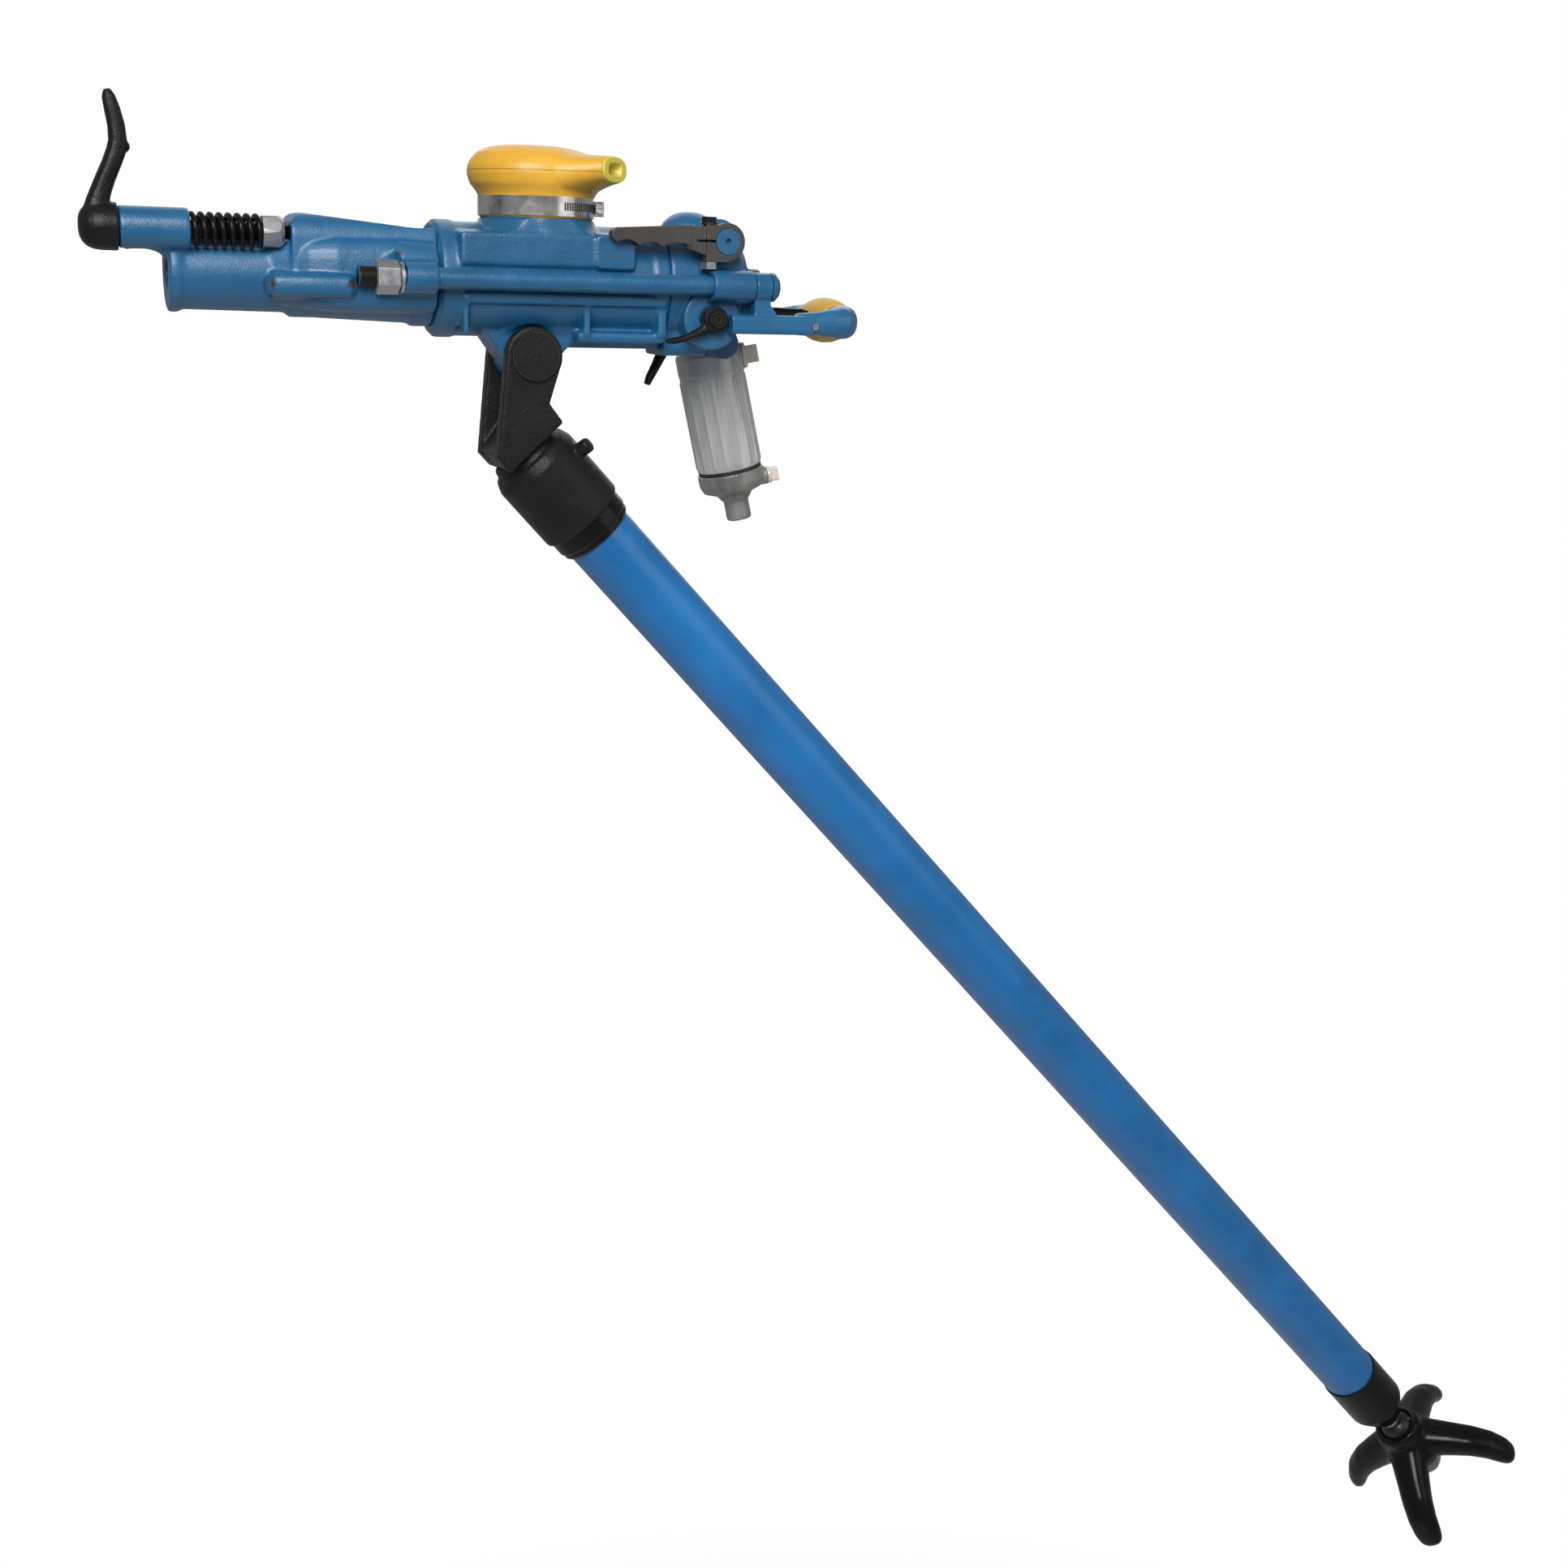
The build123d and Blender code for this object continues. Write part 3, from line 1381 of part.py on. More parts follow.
screw_seat_y = near_lever_rear_y - regulator_thickness - seat_gap
with BuildPart() as regulator_bolt:
    bar(side(screw_seat_y), 3 - seat_gap, -12, (regulator_x, regulator_z))
    bar(side(screw_seat_y - 4), 7.5, -4, (regulator_x, regulator_z))
    hexagon_bar(side(screw_seat_y - 5), 6, -2.5, (regulator_x, regulator_z), mode=Mode.SUBTRACT)
finish(regulator_bolt, "regulator_bolt")

# Air inlet elbow with its swivel nut
tilt = math.radians(oiler_tilt)
oiler_down = Vector(math.sin(tilt), 0, -math.cos(tilt))
elbow_centre = Vector(inlet_x, oiler_y, inlet_z)
oiler_plane = Plane(origin=elbow_centre, x_dir=(0, -1, 0), z_dir=oiler_down)
with BuildPart() as air_inlet_elbow:
    bar(side(inlet_boss_reach - 9), elbow_radius - 1, -10, (inlet_x, inlet_z))
    bar(
        side(inlet_boss_reach + sliding_gap),
        elbow_radius,
        inlet_boss_reach + sliding_gap - oiler_y,
        (inlet_x, inlet_z),
    )
    bar(oiler_plane, elbow_radius, oiler_top_s)
    with Locations(elbow_centre):
        Sphere(elbow_radius)
    bar(
        side(inlet_boss_reach - 10),
        elbow_bore,
        inlet_boss_reach - 10 - oiler_y,
        (inlet_x, inlet_z),
        Mode.SUBTRACT,
    )
    bar(oiler_plane, elbow_bore, oiler_top_s, mode=Mode.SUBTRACT)
    with Locations(elbow_centre):
        Sphere(elbow_bore, mode=Mode.SUBTRACT)
finish(air_inlet_elbow, "air_inlet_elbow")

inlet_nut_y = inlet_boss_reach + sliding_gap + 0.2
with BuildPart() as inlet_nut:
    hexagon_bar(side(inlet_nut_y), 27, -7, (inlet_x, inlet_z))
    bar(side(inlet_nut_y - 1), elbow_radius + seat_gap, -10, (inlet_x, inlet_z), Mode.SUBTRACT)
finish(inlet_nut, "inlet_nut")

# Directions square to the oiler's axis, and the sides that its filler and its knob point to
oiler_across = Vector(math.cos(tilt), 0, math.sin(tilt))
half_plane = Plane(origin=elbow_centre, x_dir=oiler_across, z_dir=(0, -1, 0))
oiler_axis = Axis(elbow_centre, oiler_down)


def oiler_side(s, reach, turn):
    """Plane square to a side boss of the oiler, at a depth, a reach and a turn to -Y."""
    out = oiler_across * math.cos(math.radians(turn)) + Vector(0, -1, 0) * math.sin(math.radians(turn))
    return Plane(origin=elbow_centre + oiler_down * s + out * reach, x_dir=oiler_down, z_dir=out)


# Line oiler: ribbed body with an oil chamber round its air tube, open below
filler_reach = 35.5
filler_hole = 8.0
chamber_top_s = 32.0
tube_outer = elbow_bore + 3.0
rib_start_s = filler_s + filler_radius + 5
with BuildPart() as lubricator_body:
    with BuildSketch(half_plane):
        with BuildLine():
            Polyline(
                (0, -oiler_top_s - seat_gap),
                (elbow_radius + 3, -oiler_top_s - seat_gap),
                (elbow_radius + 3, -oiler_top_s - 5),
                (oiler_radius - 8, -oiler_top_s - 9),
                (oiler_radius - 1.2, -oiler_top_s - 15),
                (oiler_radius - 1.2, -oiler_joint_s),
                (0, -oiler_joint_s),
                close=True,
            )
        make_face()
    revolve(axis=oiler_axis)
    with BuildSketch(oiler_plane.offset(rib_start_s)):
        with PolarLocations(oiler_radius - 1.6, oiler_rib_count):
            Rectangle(3.2, 3)
    extrude(amount=oiler_joint_s - rib_start_s - 4)
    bar(
        oiler_side(filler_s, elbow_radius + 1, filler_turn),
        filler_radius + 2,
        filler_reach - elbow_radius - 1,
    )
    with BuildSketch(half_plane):
        with BuildLine():
            Polyline(
                (tube_outer, -chamber_top_s),
                (oiler_radius - oiler_wall - 6, -chamber_top_s),
                (oiler_radius - oiler_wall - 1.2, -chamber_top_s - 8),
                (oiler_radius - oiler_wall - 1.2, -oiler_joint_s - 1),
                (tube_outer, -oiler_joint_s - 1),
                close=True,
            )
        make_face()
    revolve(axis=oiler_axis, mode=Mode.SUBTRACT)
    bar(oiler_plane, elbow_bore, oiler_joint_s + 1, mode=Mode.SUBTRACT)
    bar(
        oiler_side(filler_s, filler_reach, filler_turn),
        filler_hole + running_gap,
        -14,
        mode=Mode.SUBTRACT,
    )
finish(lubricator_body, "lubricator_body")

# Winged filler plug
plug_flange = 2.6
wing_reach = 13.0
with BuildPart() as filler_plug:
    bar(oiler_side(filler_s, filler_reach - 13, filler_turn), filler_hole, 13 + sliding_gap)
    bar(
        oiler_side(filler_s, filler_reach + sliding_gap, filler_turn),
        filler_radius + 1,
        plug_flange,
    )
    with BuildSketch(oiler_side(filler_s, filler_reach + plug_flange, filler_turn)):
        RectangleRounded(18, 5, 2)
    extrude(amount=wing_reach)
finish(filler_plug, "filler_plug")

# Sealing ring and end cap of the oiler, with the oil screw's boss and the hose spigot
ring_thickness = 3.0
with BuildPart() as lubricator_o_ring:
    bar(oiler_plane.offset(oiler_joint_s + seat_gap), oiler_radius - 1.5, ring_thickness)
    bar(
        oiler_plane.offset(oiler_joint_s),
        oiler_radius - 5.5,
        ring_thickness + 1,
        mode=Mode.SUBTRACT,
    )
finish(lubricator_o_ring, "lubricator_o_ring")

cap_top_s = oiler_joint_s + ring_thickness + 2 * seat_gap
knob_reach = 38.0
knob_hole = 4.0
with BuildPart() as lubricator_end_cap:
    with BuildSketch(half_plane):
        with BuildLine():
            Polyline(
                (0, -cap_top_s),
                (oiler_radius, -cap_top_s),
                (oiler_radius, -cap_top_s - 12),
                (oiler_radius - 3, -cap_top_s - 19),
                (spigot_radius + 6, -oiler_bottom_s - 6),
                (spigot_radius + 2, -oiler_bottom_s - 12),
                (spigot_radius, -oiler_bottom_s - 13),
                (spigot_radius, -oiler_spigot_s + 1.5),
                (spigot_radius - 1.5, -oiler_spigot_s),
                (0, -oiler_spigot_s),
                close=True,
            )
        make_face()
    revolve(axis=oiler_axis)
    bar(oiler_side(knob_s, 10, knob_turn), knob_radius, knob_reach - 10)
    bar(oiler_plane.offset(cap_top_s - 1), spigot_bore, oiler_spigot_s, mode=Mode.SUBTRACT)
    bar(oiler_side(knob_s, knob_reach, knob_turn), knob_hole + running_gap, -16, mode=Mode.SUBTRACT)
finish(lubricator_end_cap, "lubricator_end_cap")

with BuildPart() as oil_knob:
    bar(oiler_side(knob_s, knob_reach - 14, knob_turn), knob_hole, 14 + sliding_gap)
    bar(oiler_side(knob_s, knob_reach + sliding_gap, knob_turn), knob_radius - 0.5, 2.4)
    with BuildSketch(oiler_side(knob_s, knob_reach + 2, knob_turn)):
        RectangleRounded(15, 4.5, 2)
    extrude(amount=9)
finish(oil_knob, "oil_knob")

# Water inlet on the back of the rear head, and the needle that it feeds
water_flange = 5.0
water_nipple_radius = 8.0
water_end_x = water_x + 30
with BuildPart() as water_inlet:
    hexagon_bar(across(water_x + seat_gap), 24, water_flange + 4)
    turned(
        [
            (water_x + water_flange, 0),
            (water_x + water_flange, water_nipple_radius - 1.2),
            (water_end_x - 14, water_nipple_radius - 1.2),
            (water_end_x - 14, water_nipple_radius),
            (water_end_x - 8, water_nipple_radius - 1.2),
            (water_end_x - 8, water_nipple_radius),
            (water_end_x, water_nipple_radius - 1.5),
            (water_end_x, 0),
        ]
    )
    bar(across(water_x), 4, 60, mode=Mode.SUBTRACT)
finish(water_inlet, "water_inlet")

with BuildPart() as water_needle:
    bar(across(needle_front_x), needle_radius, water_x - needle_front_x)
    bar(across(needle_front_x - 1), needle_bore, water_x - needle_front_x + 9, mode=Mode.SUBTRACT)
finish(water_needle, "water_needle")

# Leg frame: distance along the leg from its pivot, and distance below its axis
leg_side = Plane(origin=leg_top, x_dir=leg_along, z_dir=(0, 1, 0))
leg_axis = Axis(leg_top, leg_along)


def leg_across(s):
    """The plane across the leg at a distance along it."""
    return Plane(origin=leg_top + leg_along * s, x_dir=(0, 1, 0), z_dir=leg_along)


# Leg yoke: two cheeks with pivot eyes on a bridge block
eye_n = -leg_axis_offset
with BuildPart() as leg_yoke:
    with BuildSketch(leg_side.offset(cheek_inner + cheek_thickness / 2)):
        with BuildLine():
            Polyline(
                (0, eye_n + yoke_eye_radius),
                (-yoke_eye_radius * 0.72, eye_n + yoke_eye_radius * 0.69),
                (yoke_end_s - 18, yoke_front_n),
                (yoke_end_s, yoke_front_n),
                (yoke_end_s, yoke_back_n),
                (yoke_end_s - 22, yoke_back_n - 2),
                (yoke_eye_radius * 0.8, eye_n - yoke_eye_radius * 0.6),
                (0, eye_n),
                close=True,
            )
        make_face()
        with Locations((0, eye_n)):
            Circle(yoke_eye_radius)
    extrude(amount=cheek_thickness / 2, both=True)
    mirror(about=Plane.XZ)
    with BuildSketch(leg_side):
        with BuildLine():
            Polyline(
                (yoke_end_s - 32, yoke_back_n + 12),
                (yoke_end_s - 20, yoke_front_n - 2),
                (yoke_end_s, yoke_front_n),
                (yoke_end_s, yoke_back_n),
                (yoke_end_s - 20, yoke_back_n),
                close=True,
            )
        make_face()
    extrude(amount=cheek_inner + cheek_thickness - 1, both=True)
    bar(
        leg_side.offset(-80),
        pivot_shaft_radius + seat_gap,
        160,
        (0, eye_n),
        Mode.SUBTRACT,
    )
finish(leg_yoke, "leg_yoke")

# Pivot shaft with a round head and an end nut
shaft_head_radius = 22.5
cheek_outer = cheek_inner + cheek_thickness
with BuildPart() as leg_pivot_shaft:
    bar(leg_side.offset(-cheek_outer - 3), pivot_shaft_radius, 2 * cheek_outer + 12, (0, eye_n))
    bar(leg_side.offset(-cheek_outer - seat_gap), shaft_head_radius, -4.5, (0, eye_n))
    hexagon_bar(leg_side.offset(cheek_outer + seat_gap), 36, 12, (0, eye_n))
finish(leg_pivot_shaft, "leg_pivot_shaft")

# Leg head: turned cylinder with a side boss, bored for the outer tube
head_top_s = yoke_end_s + seat_gap
stub_s = 98.0
stub_reach = 58.0
stub_radius = 7.5
with BuildPart() as leg_head:
    with BuildSketch(leg_side):
        with BuildLine():
            Polyline(
                (head_top_s, 0),
                (head_top_s, leg_head_radius - 10),
                (head_top_s + 8, leg_head_radius - 8),
                (head_top_s + 10, leg_head_radius - 4),
                (head_top_s + 20, leg_head_radius),
                (leg_head_end_s - 2, leg_head_radius),
                (leg_head_end_s, leg_head_radius - 2),
                (leg_head_end_s, leg_tube_radius + seat_gap),
                (leg_tube_top_s - 1, leg_tube_radius + seat_gap),
                (leg_tube_top_s - 1, leg_tube_bore - 3),
                (leg_tube_top_s - 20, leg_tube_bore - 3),
                (leg_tube_top_s - 24, 0),
                close=True,
            )
        make_face()
    revolve(axis=leg_axis)
    stub_out = leg_below * -0.82 + Vector(0, -0.57, 0)
    bar(
        Plane(
            origin=leg_top + leg_along * stub_s + stub_out * (leg_head_radius - 6),
            z_dir=stub_out,
        ),
        stub_radius,
        stub_reach - leg_head_radius + 6,
    )
finish(leg_head, "leg_head")

with BuildPart() as leg_collar:
    with BuildSketch(leg_side):
        with BuildLine():
            Polyline(
                (leg_head_end_s + seat_gap, leg_tube_radius + seat_gap),
                (leg_head_end_s + seat_gap, leg_collar_radius),
                (leg_collar_end_s - 8, leg_collar_radius),
                (leg_collar_end_s - 6, leg_collar_radius - 1.5),
                (leg_collar_end_s - 2, leg_collar_radius - 1.5),
                (leg_collar_end_s, leg_collar_radius - 3),
                (leg_collar_end_s, leg_tube_radius + seat_gap),
                close=True,
            )
        make_face()
    revolve(axis=leg_axis)
finish(leg_collar, "leg_collar")

with BuildPart() as leg_outer_tube:
    bar(leg_across(leg_tube_top_s), leg_tube_radius, leg_tube_end_s - leg_tube_top_s)
    bar(
        leg_across(leg_tube_top_s - 1),
        leg_tube_bore,
        leg_tube_end_s - leg_tube_top_s + 2,
        mode=Mode.SUBTRACT,
    )
finish(leg_outer_tube, "leg_outer_tube")

# End cap of the leg, with the rod's guide bush inside
bush_end_s = leg_bush_top_s + leg_bush_length
with BuildPart() as leg_end_cap:
    with BuildSketch(leg_side):
        with BuildLine():
            Line((leg_cap_top_s, leg_tube_radius + seat_gap), (leg_cap_top_s, leg_cap_radius - 1))
            Line((leg_cap_top_s, leg_cap_radius - 1), (leg_cap_top_s + 1, leg_cap_radius))
            Line((leg_cap_top_s + 1, leg_cap_radius), (bush_end_s - 2, leg_cap_radius))
            ThreePointArc(
                (bush_end_s - 2, leg_cap_radius),
                (bush_end_s + 12, leg_cap_radius - 7),
                (leg_cap_end_s, leg_rod_radius + 3),
            )
            Line((leg_cap_end_s, leg_rod_radius + 3), (leg_cap_end_s, leg_rod_radius + sliding_gap))
            Line(
                (leg_cap_end_s, leg_rod_radius + sliding_gap),
                (bush_end_s + seat_gap, leg_rod_radius + sliding_gap),
            )
            Line(
                (bush_end_s + seat_gap, leg_rod_radius + sliding_gap),
                (bush_end_s + seat_gap, leg_bush_radius + seat_gap),
            )
            Line(
                (bush_end_s + seat_gap, leg_bush_radius + seat_gap),
                (leg_tube_end_s + 1, leg_bush_radius + seat_gap),
            )
            Line(
                (leg_tube_end_s + 1, leg_bush_radius + seat_gap),
                (leg_tube_end_s + 1, leg_tube_radius + seat_gap),
            )
            Line(
                (leg_tube_end_s + 1, leg_tube_radius + seat_gap),
                (leg_cap_top_s, leg_tube_radius + seat_gap),
            )
        make_face()
    revolve(axis=leg_axis)
finish(leg_end_cap, "leg_end_cap")

with BuildPart() as leg_guide_bush:
    bar(leg_across(leg_bush_top_s), leg_bush_radius, leg_bush_length)
    bar(
        leg_across(leg_bush_top_s - 1),
        leg_rod_radius + running_gap,
        leg_bush_length + 2,
        mode=Mode.SUBTRACT,
    )
finish(leg_guide_bush, "leg_guide_bush")

# Leg rod: long tube with a ball at its foot end
rod_top_s = leg_piston_s + 2
rod_end_s = ball_s - 27
with BuildPart() as leg_rod:
    bar(leg_across(rod_top_s), leg_rod_radius, rod_end_s - rod_top_s)
    bar(leg_across(rod_end_s - 1), ball_neck_radius, 20)
    with Locations(leg_top + leg_along * ball_s):
        Sphere(ball_radius)
    bar(leg_across(rod_top_s - 1), leg_rod_bore, rod_end_s - rod_top_s - 20, mode=Mode.SUBTRACT)
finish(leg_rod, "leg_rod")

# Leg piston with its sealing ring
seal_s = leg_piston_s + leg_piston_length / 2
seal_width = 6.0
seal_depth = 5.0
piston_end_s = leg_piston_s + leg_piston_length
leg_piston_radius = leg_tube_bore - running_gap
with BuildPart() as leg_piston:
    with BuildSketch(leg_side):
        with BuildLine():
            Polyline(
                (leg_piston_s, leg_rod_radius + seat_gap),
                (leg_piston_s, leg_piston_radius - 2),
                (leg_piston_s + 2, leg_piston_radius),
                (seal_s - seal_width / 2, leg_piston_radius),
                (seal_s - seal_width / 2, leg_piston_radius - seal_depth),
                (seal_s + seal_width / 2, leg_piston_radius - seal_depth),
                (seal_s + seal_width / 2, leg_piston_radius),
                (piston_end_s, leg_piston_radius),
                (piston_end_s, leg_rod_radius + seat_gap),
                close=True,
            )
        make_face()
    revolve(axis=leg_axis)
finish(leg_piston, "leg_piston")

with BuildPart() as leg_piston_seal:
    bar(
        leg_across(seal_s - seal_width / 2 + seat_gap),
        leg_piston_radius,
        seal_width - 2 * seat_gap,
    )
    bar(
        leg_across(seal_s - seal_width),
        leg_piston_radius - seal_depth + seat_gap,
        2 * seal_width,
        mode=Mode.SUBTRACT,
    )
finish(leg_piston_seal, "leg_piston_seal")

# Foot: socket hub with four forward claws and a centre point
hub_top_s = ball_s - 10
hub_end_s = ball_s + 34
socket_radius = ball_radius + sliding_gap
mouth_radius = socket_radius - 0.6
with BuildPart() as leg_foot:
    with BuildSketch(leg_side):
        with BuildLine():
            Polyline(
                (hub_top_s, 0),
                (hub_top_s, foot_hub_radius - 3),
                (hub_top_s + 3, foot_hub_radius),
                (ball_s + 8, foot_hub_radius),
                (hub_end_s, foot_hub_radius + 12),
                (hub_end_s + 14, foot_hub_radius + 10),
                (hub_end_s + 14, 16),
                (foot_nub_s - 8, 14),
                (foot_nub_s, 6),
                (foot_nub_s, 0),
                close=True,
            )
        make_face()
    revolve(axis=leg_axis)
    for claw in range(claw_count):
        angle = math.radians(45 + claw * 360 / claw_count)
        outward = leg_below * math.cos(angle) + Vector(0, math.sin(angle), 0)
        claw_plane = Plane(origin=leg_top, x_dir=leg_along, z_dir=leg_along.cross(outward))
        with BuildSketch(claw_plane):
            with BuildLine():
                Line((ball_s + 12, 22), (ball_s + 14, foot_hub_radius + 6))
                ThreePointArc(
                    (ball_s + 14, foot_hub_radius + 6),
                    (ball_s + 42, claw_tip_reach - 26),
                    (claw_tip_s - 2, claw_tip_reach),
                )
                Line((claw_tip_s - 2, claw_tip_reach), (claw_tip_s, claw_tip_reach - 12))
                ThreePointArc(
                    (claw_tip_s, claw_tip_reach - 12),
                    (ball_s + 58, claw_tip_reach - 44),
                    (hub_end_s + 12, 22),
                )
                Line((hub_end_s + 12, 22), (ball_s + 12, 22))
            make_face()
        extrude(amount=claw_half_width, both=True)
    with Locations(leg_top + leg_along * ball_s):
        Sphere(socket_radius, mode=Mode.SUBTRACT)
    with BuildSketch(leg_side):
        with BuildLine():
            Polyline(
                (hub_top_s - 1, 0),
                (hub_top_s - 1, mouth_radius),
                (ball_s, ball_neck_radius + 1),
                (ball_s, 0),
                close=True,
            )
        make_face()
    revolve(axis=leg_axis, mode=Mode.SUBTRACT)
finish(leg_foot, "leg_foot")

# Chuck driver: turns in the nose, holds the bushing and engages the piston's splines
spline_gap = 0.3
with BuildPart() as chuck_driver:
    bar(across(nose_wall + sliding_gap), driver_radius, driver_rear_x - nose_wall - sliding_gap)
    bar(across(0), bushing_radius + seat_gap, bushing_rear_x + seat_gap, mode=Mode.SUBTRACT)
    bar(across(0), stem_core_radius + spline_gap, 300, mode=Mode.SUBTRACT)
    with BuildSketch(across(bushing_rear_x)):
        with PolarLocations((stem_radius + stem_core_radius) / 2, spline_count):
            Rectangle(
                stem_radius - stem_core_radius + 2 * spline_gap + 3,
                spline_width + 2 * spline_gap,
            )
    extrude(amount=driver_rear_x, mode=Mode.SUBTRACT)
finish(chuck_driver, "chuck_driver")

with BuildPart() as chuck_bushing:
    bar(
        across(nose_wall + sliding_gap + seat_gap),
        bushing_radius,
        bushing_rear_x - nose_wall - sliding_gap,
    )
    hexagon_bar(across(0), hex_socket_flats, 300, mode=Mode.SUBTRACT)
finish(chuck_bushing, "chuck_bushing")

with BuildPart() as front_guide_bush:
    bar(across(guide_bush_front_x), guide_bush_radius, guide_bush_rear_x - guide_bush_front_x)
    bar(across(200), stem_radius + running_gap, 60, mode=Mode.SUBTRACT)
finish(front_guide_bush, "front_guide_bush")

# Hammer piston: head, splined stem, rear bore for the rifle nut and bar
splines_end_x = piston_head_x - 23
bar_hollow_radius = rifle_bar_radius + 0.6
bar_hollow_front_x = rifle_bar_front_x - stroke - 2
nut_seat_radius = rifle_nut_radius + seat_gap
with BuildPart() as piston:
    bar(across(piston_front_x), stem_radius, piston_head_x - piston_front_x)
    with BuildSketch(across(piston_front_x)):
        Circle(stem_radius + 1)
        Circle(stem_core_radius, mode=Mode.SUBTRACT)
        with PolarLocations((stem_radius + stem_core_radius) / 2, spline_count):
            Rectangle(stem_radius, spline_width, mode=Mode.SUBTRACT)
    extrude(amount=splines_end_x - piston_front_x, mode=Mode.SUBTRACT)
    bar(across(piston_head_x), cylinder_bore - running_gap, piston_rear_x - piston_head_x)
    bar(across(0), needle_radius + sliding_gap, 400, mode=Mode.SUBTRACT)
    bar(across(bar_hollow_front_x), bar_hollow_radius, 200, mode=Mode.SUBTRACT)
    bar(across(rifle_nut_x), nut_seat_radius, 200, mode=Mode.SUBTRACT)
finish(piston, "piston")

with BuildPart() as rifle_nut:
    bar(across(rifle_nut_x + seat_gap), rifle_nut_radius, piston_rear_x - rifle_nut_x)
    bar(across(rifle_nut_x), rifle_bar_radius + 0.4, 100, mode=Mode.SUBTRACT)
finish(rifle_nut, "rifle_nut")

# Rifle bar: helical lands, shaft and ratchet head with pockets for the pawls
land_root_radius = 9.5
land_width = 6.0
land_end_x = chest_front_x - 2
land_steps = 6
pawl_x = ratchet_front_x + 4
pawl_length = 13.0
rifle_head_front_x = ratchet_front_x + 1.5
rifle_head_rear_x = cylinder_end_x - 5
with BuildPart() as rifle_bar:
    for step in range(land_steps + 1):
        x = rifle_bar_front_x + (land_end_x - rifle_bar_front_x) * step / land_steps
        turn = 360 * (x - rifle_bar_front_x) / rifle_lead
        with BuildSketch(across(x)):
            Circle(land_root_radius)
            with PolarLocations(rifle_bar_radius - 2, rifle_flutes, turn):
                Rectangle(4, land_width)
    loft(ruled=True)
    bar(across(land_end_x), rifle_bar_radius, rifle_head_front_x - land_end_x)
    bar(across(rifle_head_front_x), rifle_head_radius, rifle_head_rear_x - rifle_head_front_x)
    with BuildSketch(across(pawl_x - 0.5)):
        with PolarLocations(0, pawl_count):
            Polygon((18.2, -5), (22.3, -7.2), (30, -7), (30, 6), (28, 4.9), (20.2, 1), align=None)
    extrude(amount=60, mode=Mode.SUBTRACT)
    bar(across(0), needle_radius + sliding_gap, 600, mode=Mode.SUBTRACT)
finish(rifle_bar, "rifle_bar")

with BuildPart() as pawls:
    with BuildSketch(across(pawl_x)):
        with PolarLocations(0, pawl_count):
            Polygon((18.5, -4.5), (22.5, -6.5), (29.2, 1.5), (28.6, 4.2), (20.5, 0.5), align=None)
    extrude(amount=pawl_length)
finish(pawls, "pawls")

with BuildPart() as ratchet_ring:
    with BuildSketch(across(ratchet_front_x + seat_gap)):
        Circle(chest_radius)
        Circle(ratchet_crest_radius, mode=Mode.SUBTRACT)
        with PolarLocations(0, ratchet_teeth):
            Polygon((29, 0), (ratchet_root_radius, 0), (29.4, 6), align=None, mode=Mode.SUBTRACT)
    extrude(amount=cylinder_end_x - ratchet_front_x - 2 * seat_gap)
finish(ratchet_ring, "ratchet_ring")

# Air distribution: chest, ring valve and cover
hub_radius = 17.0
shaft_hole = rifle_bar_radius + 0.4
wall_inner = 36.5
port_circle = 28.0
chest_plate_rear_x = chest_front_x + plate_thickness
valve_cover_x = chest_plate_rear_x + valve_box_depth
with BuildPart() as valve_chest:
    bar(across(chest_front_x + seat_gap), chest_radius, valve_cover_x - chest_front_x - seat_gap)
    bar(across(chest_plate_rear_x), wall_inner, 60, mode=Mode.SUBTRACT)
    bar(across(chest_plate_rear_x - 1), hub_radius, valve_box_depth + 1)
    bar(across(400), shaft_hole, 60, mode=Mode.SUBTRACT)
    with BuildSketch(across(400)):
        with PolarLocations(port_circle, 8):
            Circle(3)
    extrude(amount=20, mode=Mode.SUBTRACT)
finish(valve_chest, "valve_chest")

valve_rest_x = chest_plate_rear_x + 2.5
with BuildPart() as valve:
    bar(across(valve_rest_x), wall_inner - 2.5, valve_thickness)
    bar(across(valve_rest_x - 1), hub_radius + running_gap, 20, mode=Mode.SUBTRACT)
finish(valve, "valve")

with BuildPart() as valve_cover:
    bar(across(valve_cover_x + seat_gap), chest_radius, ratchet_front_x - valve_cover_x - seat_gap)
    bar(across(400), shaft_hole, 60, mode=Mode.SUBTRACT)
    with BuildSketch(across(valve_cover_x)):
        with PolarLocations(port_circle, 8, 22.5):
            Circle(3)
    extrude(amount=20, mode=Mode.SUBTRACT)
finish(valve_cover, "valve_cover")
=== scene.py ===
"""Studio scene of an air-leg rock drill: its paints, rubber, bright metal and moulded parts."""

import json
import math

import bmesh
import bpy
from mathutils import Matrix, Vector

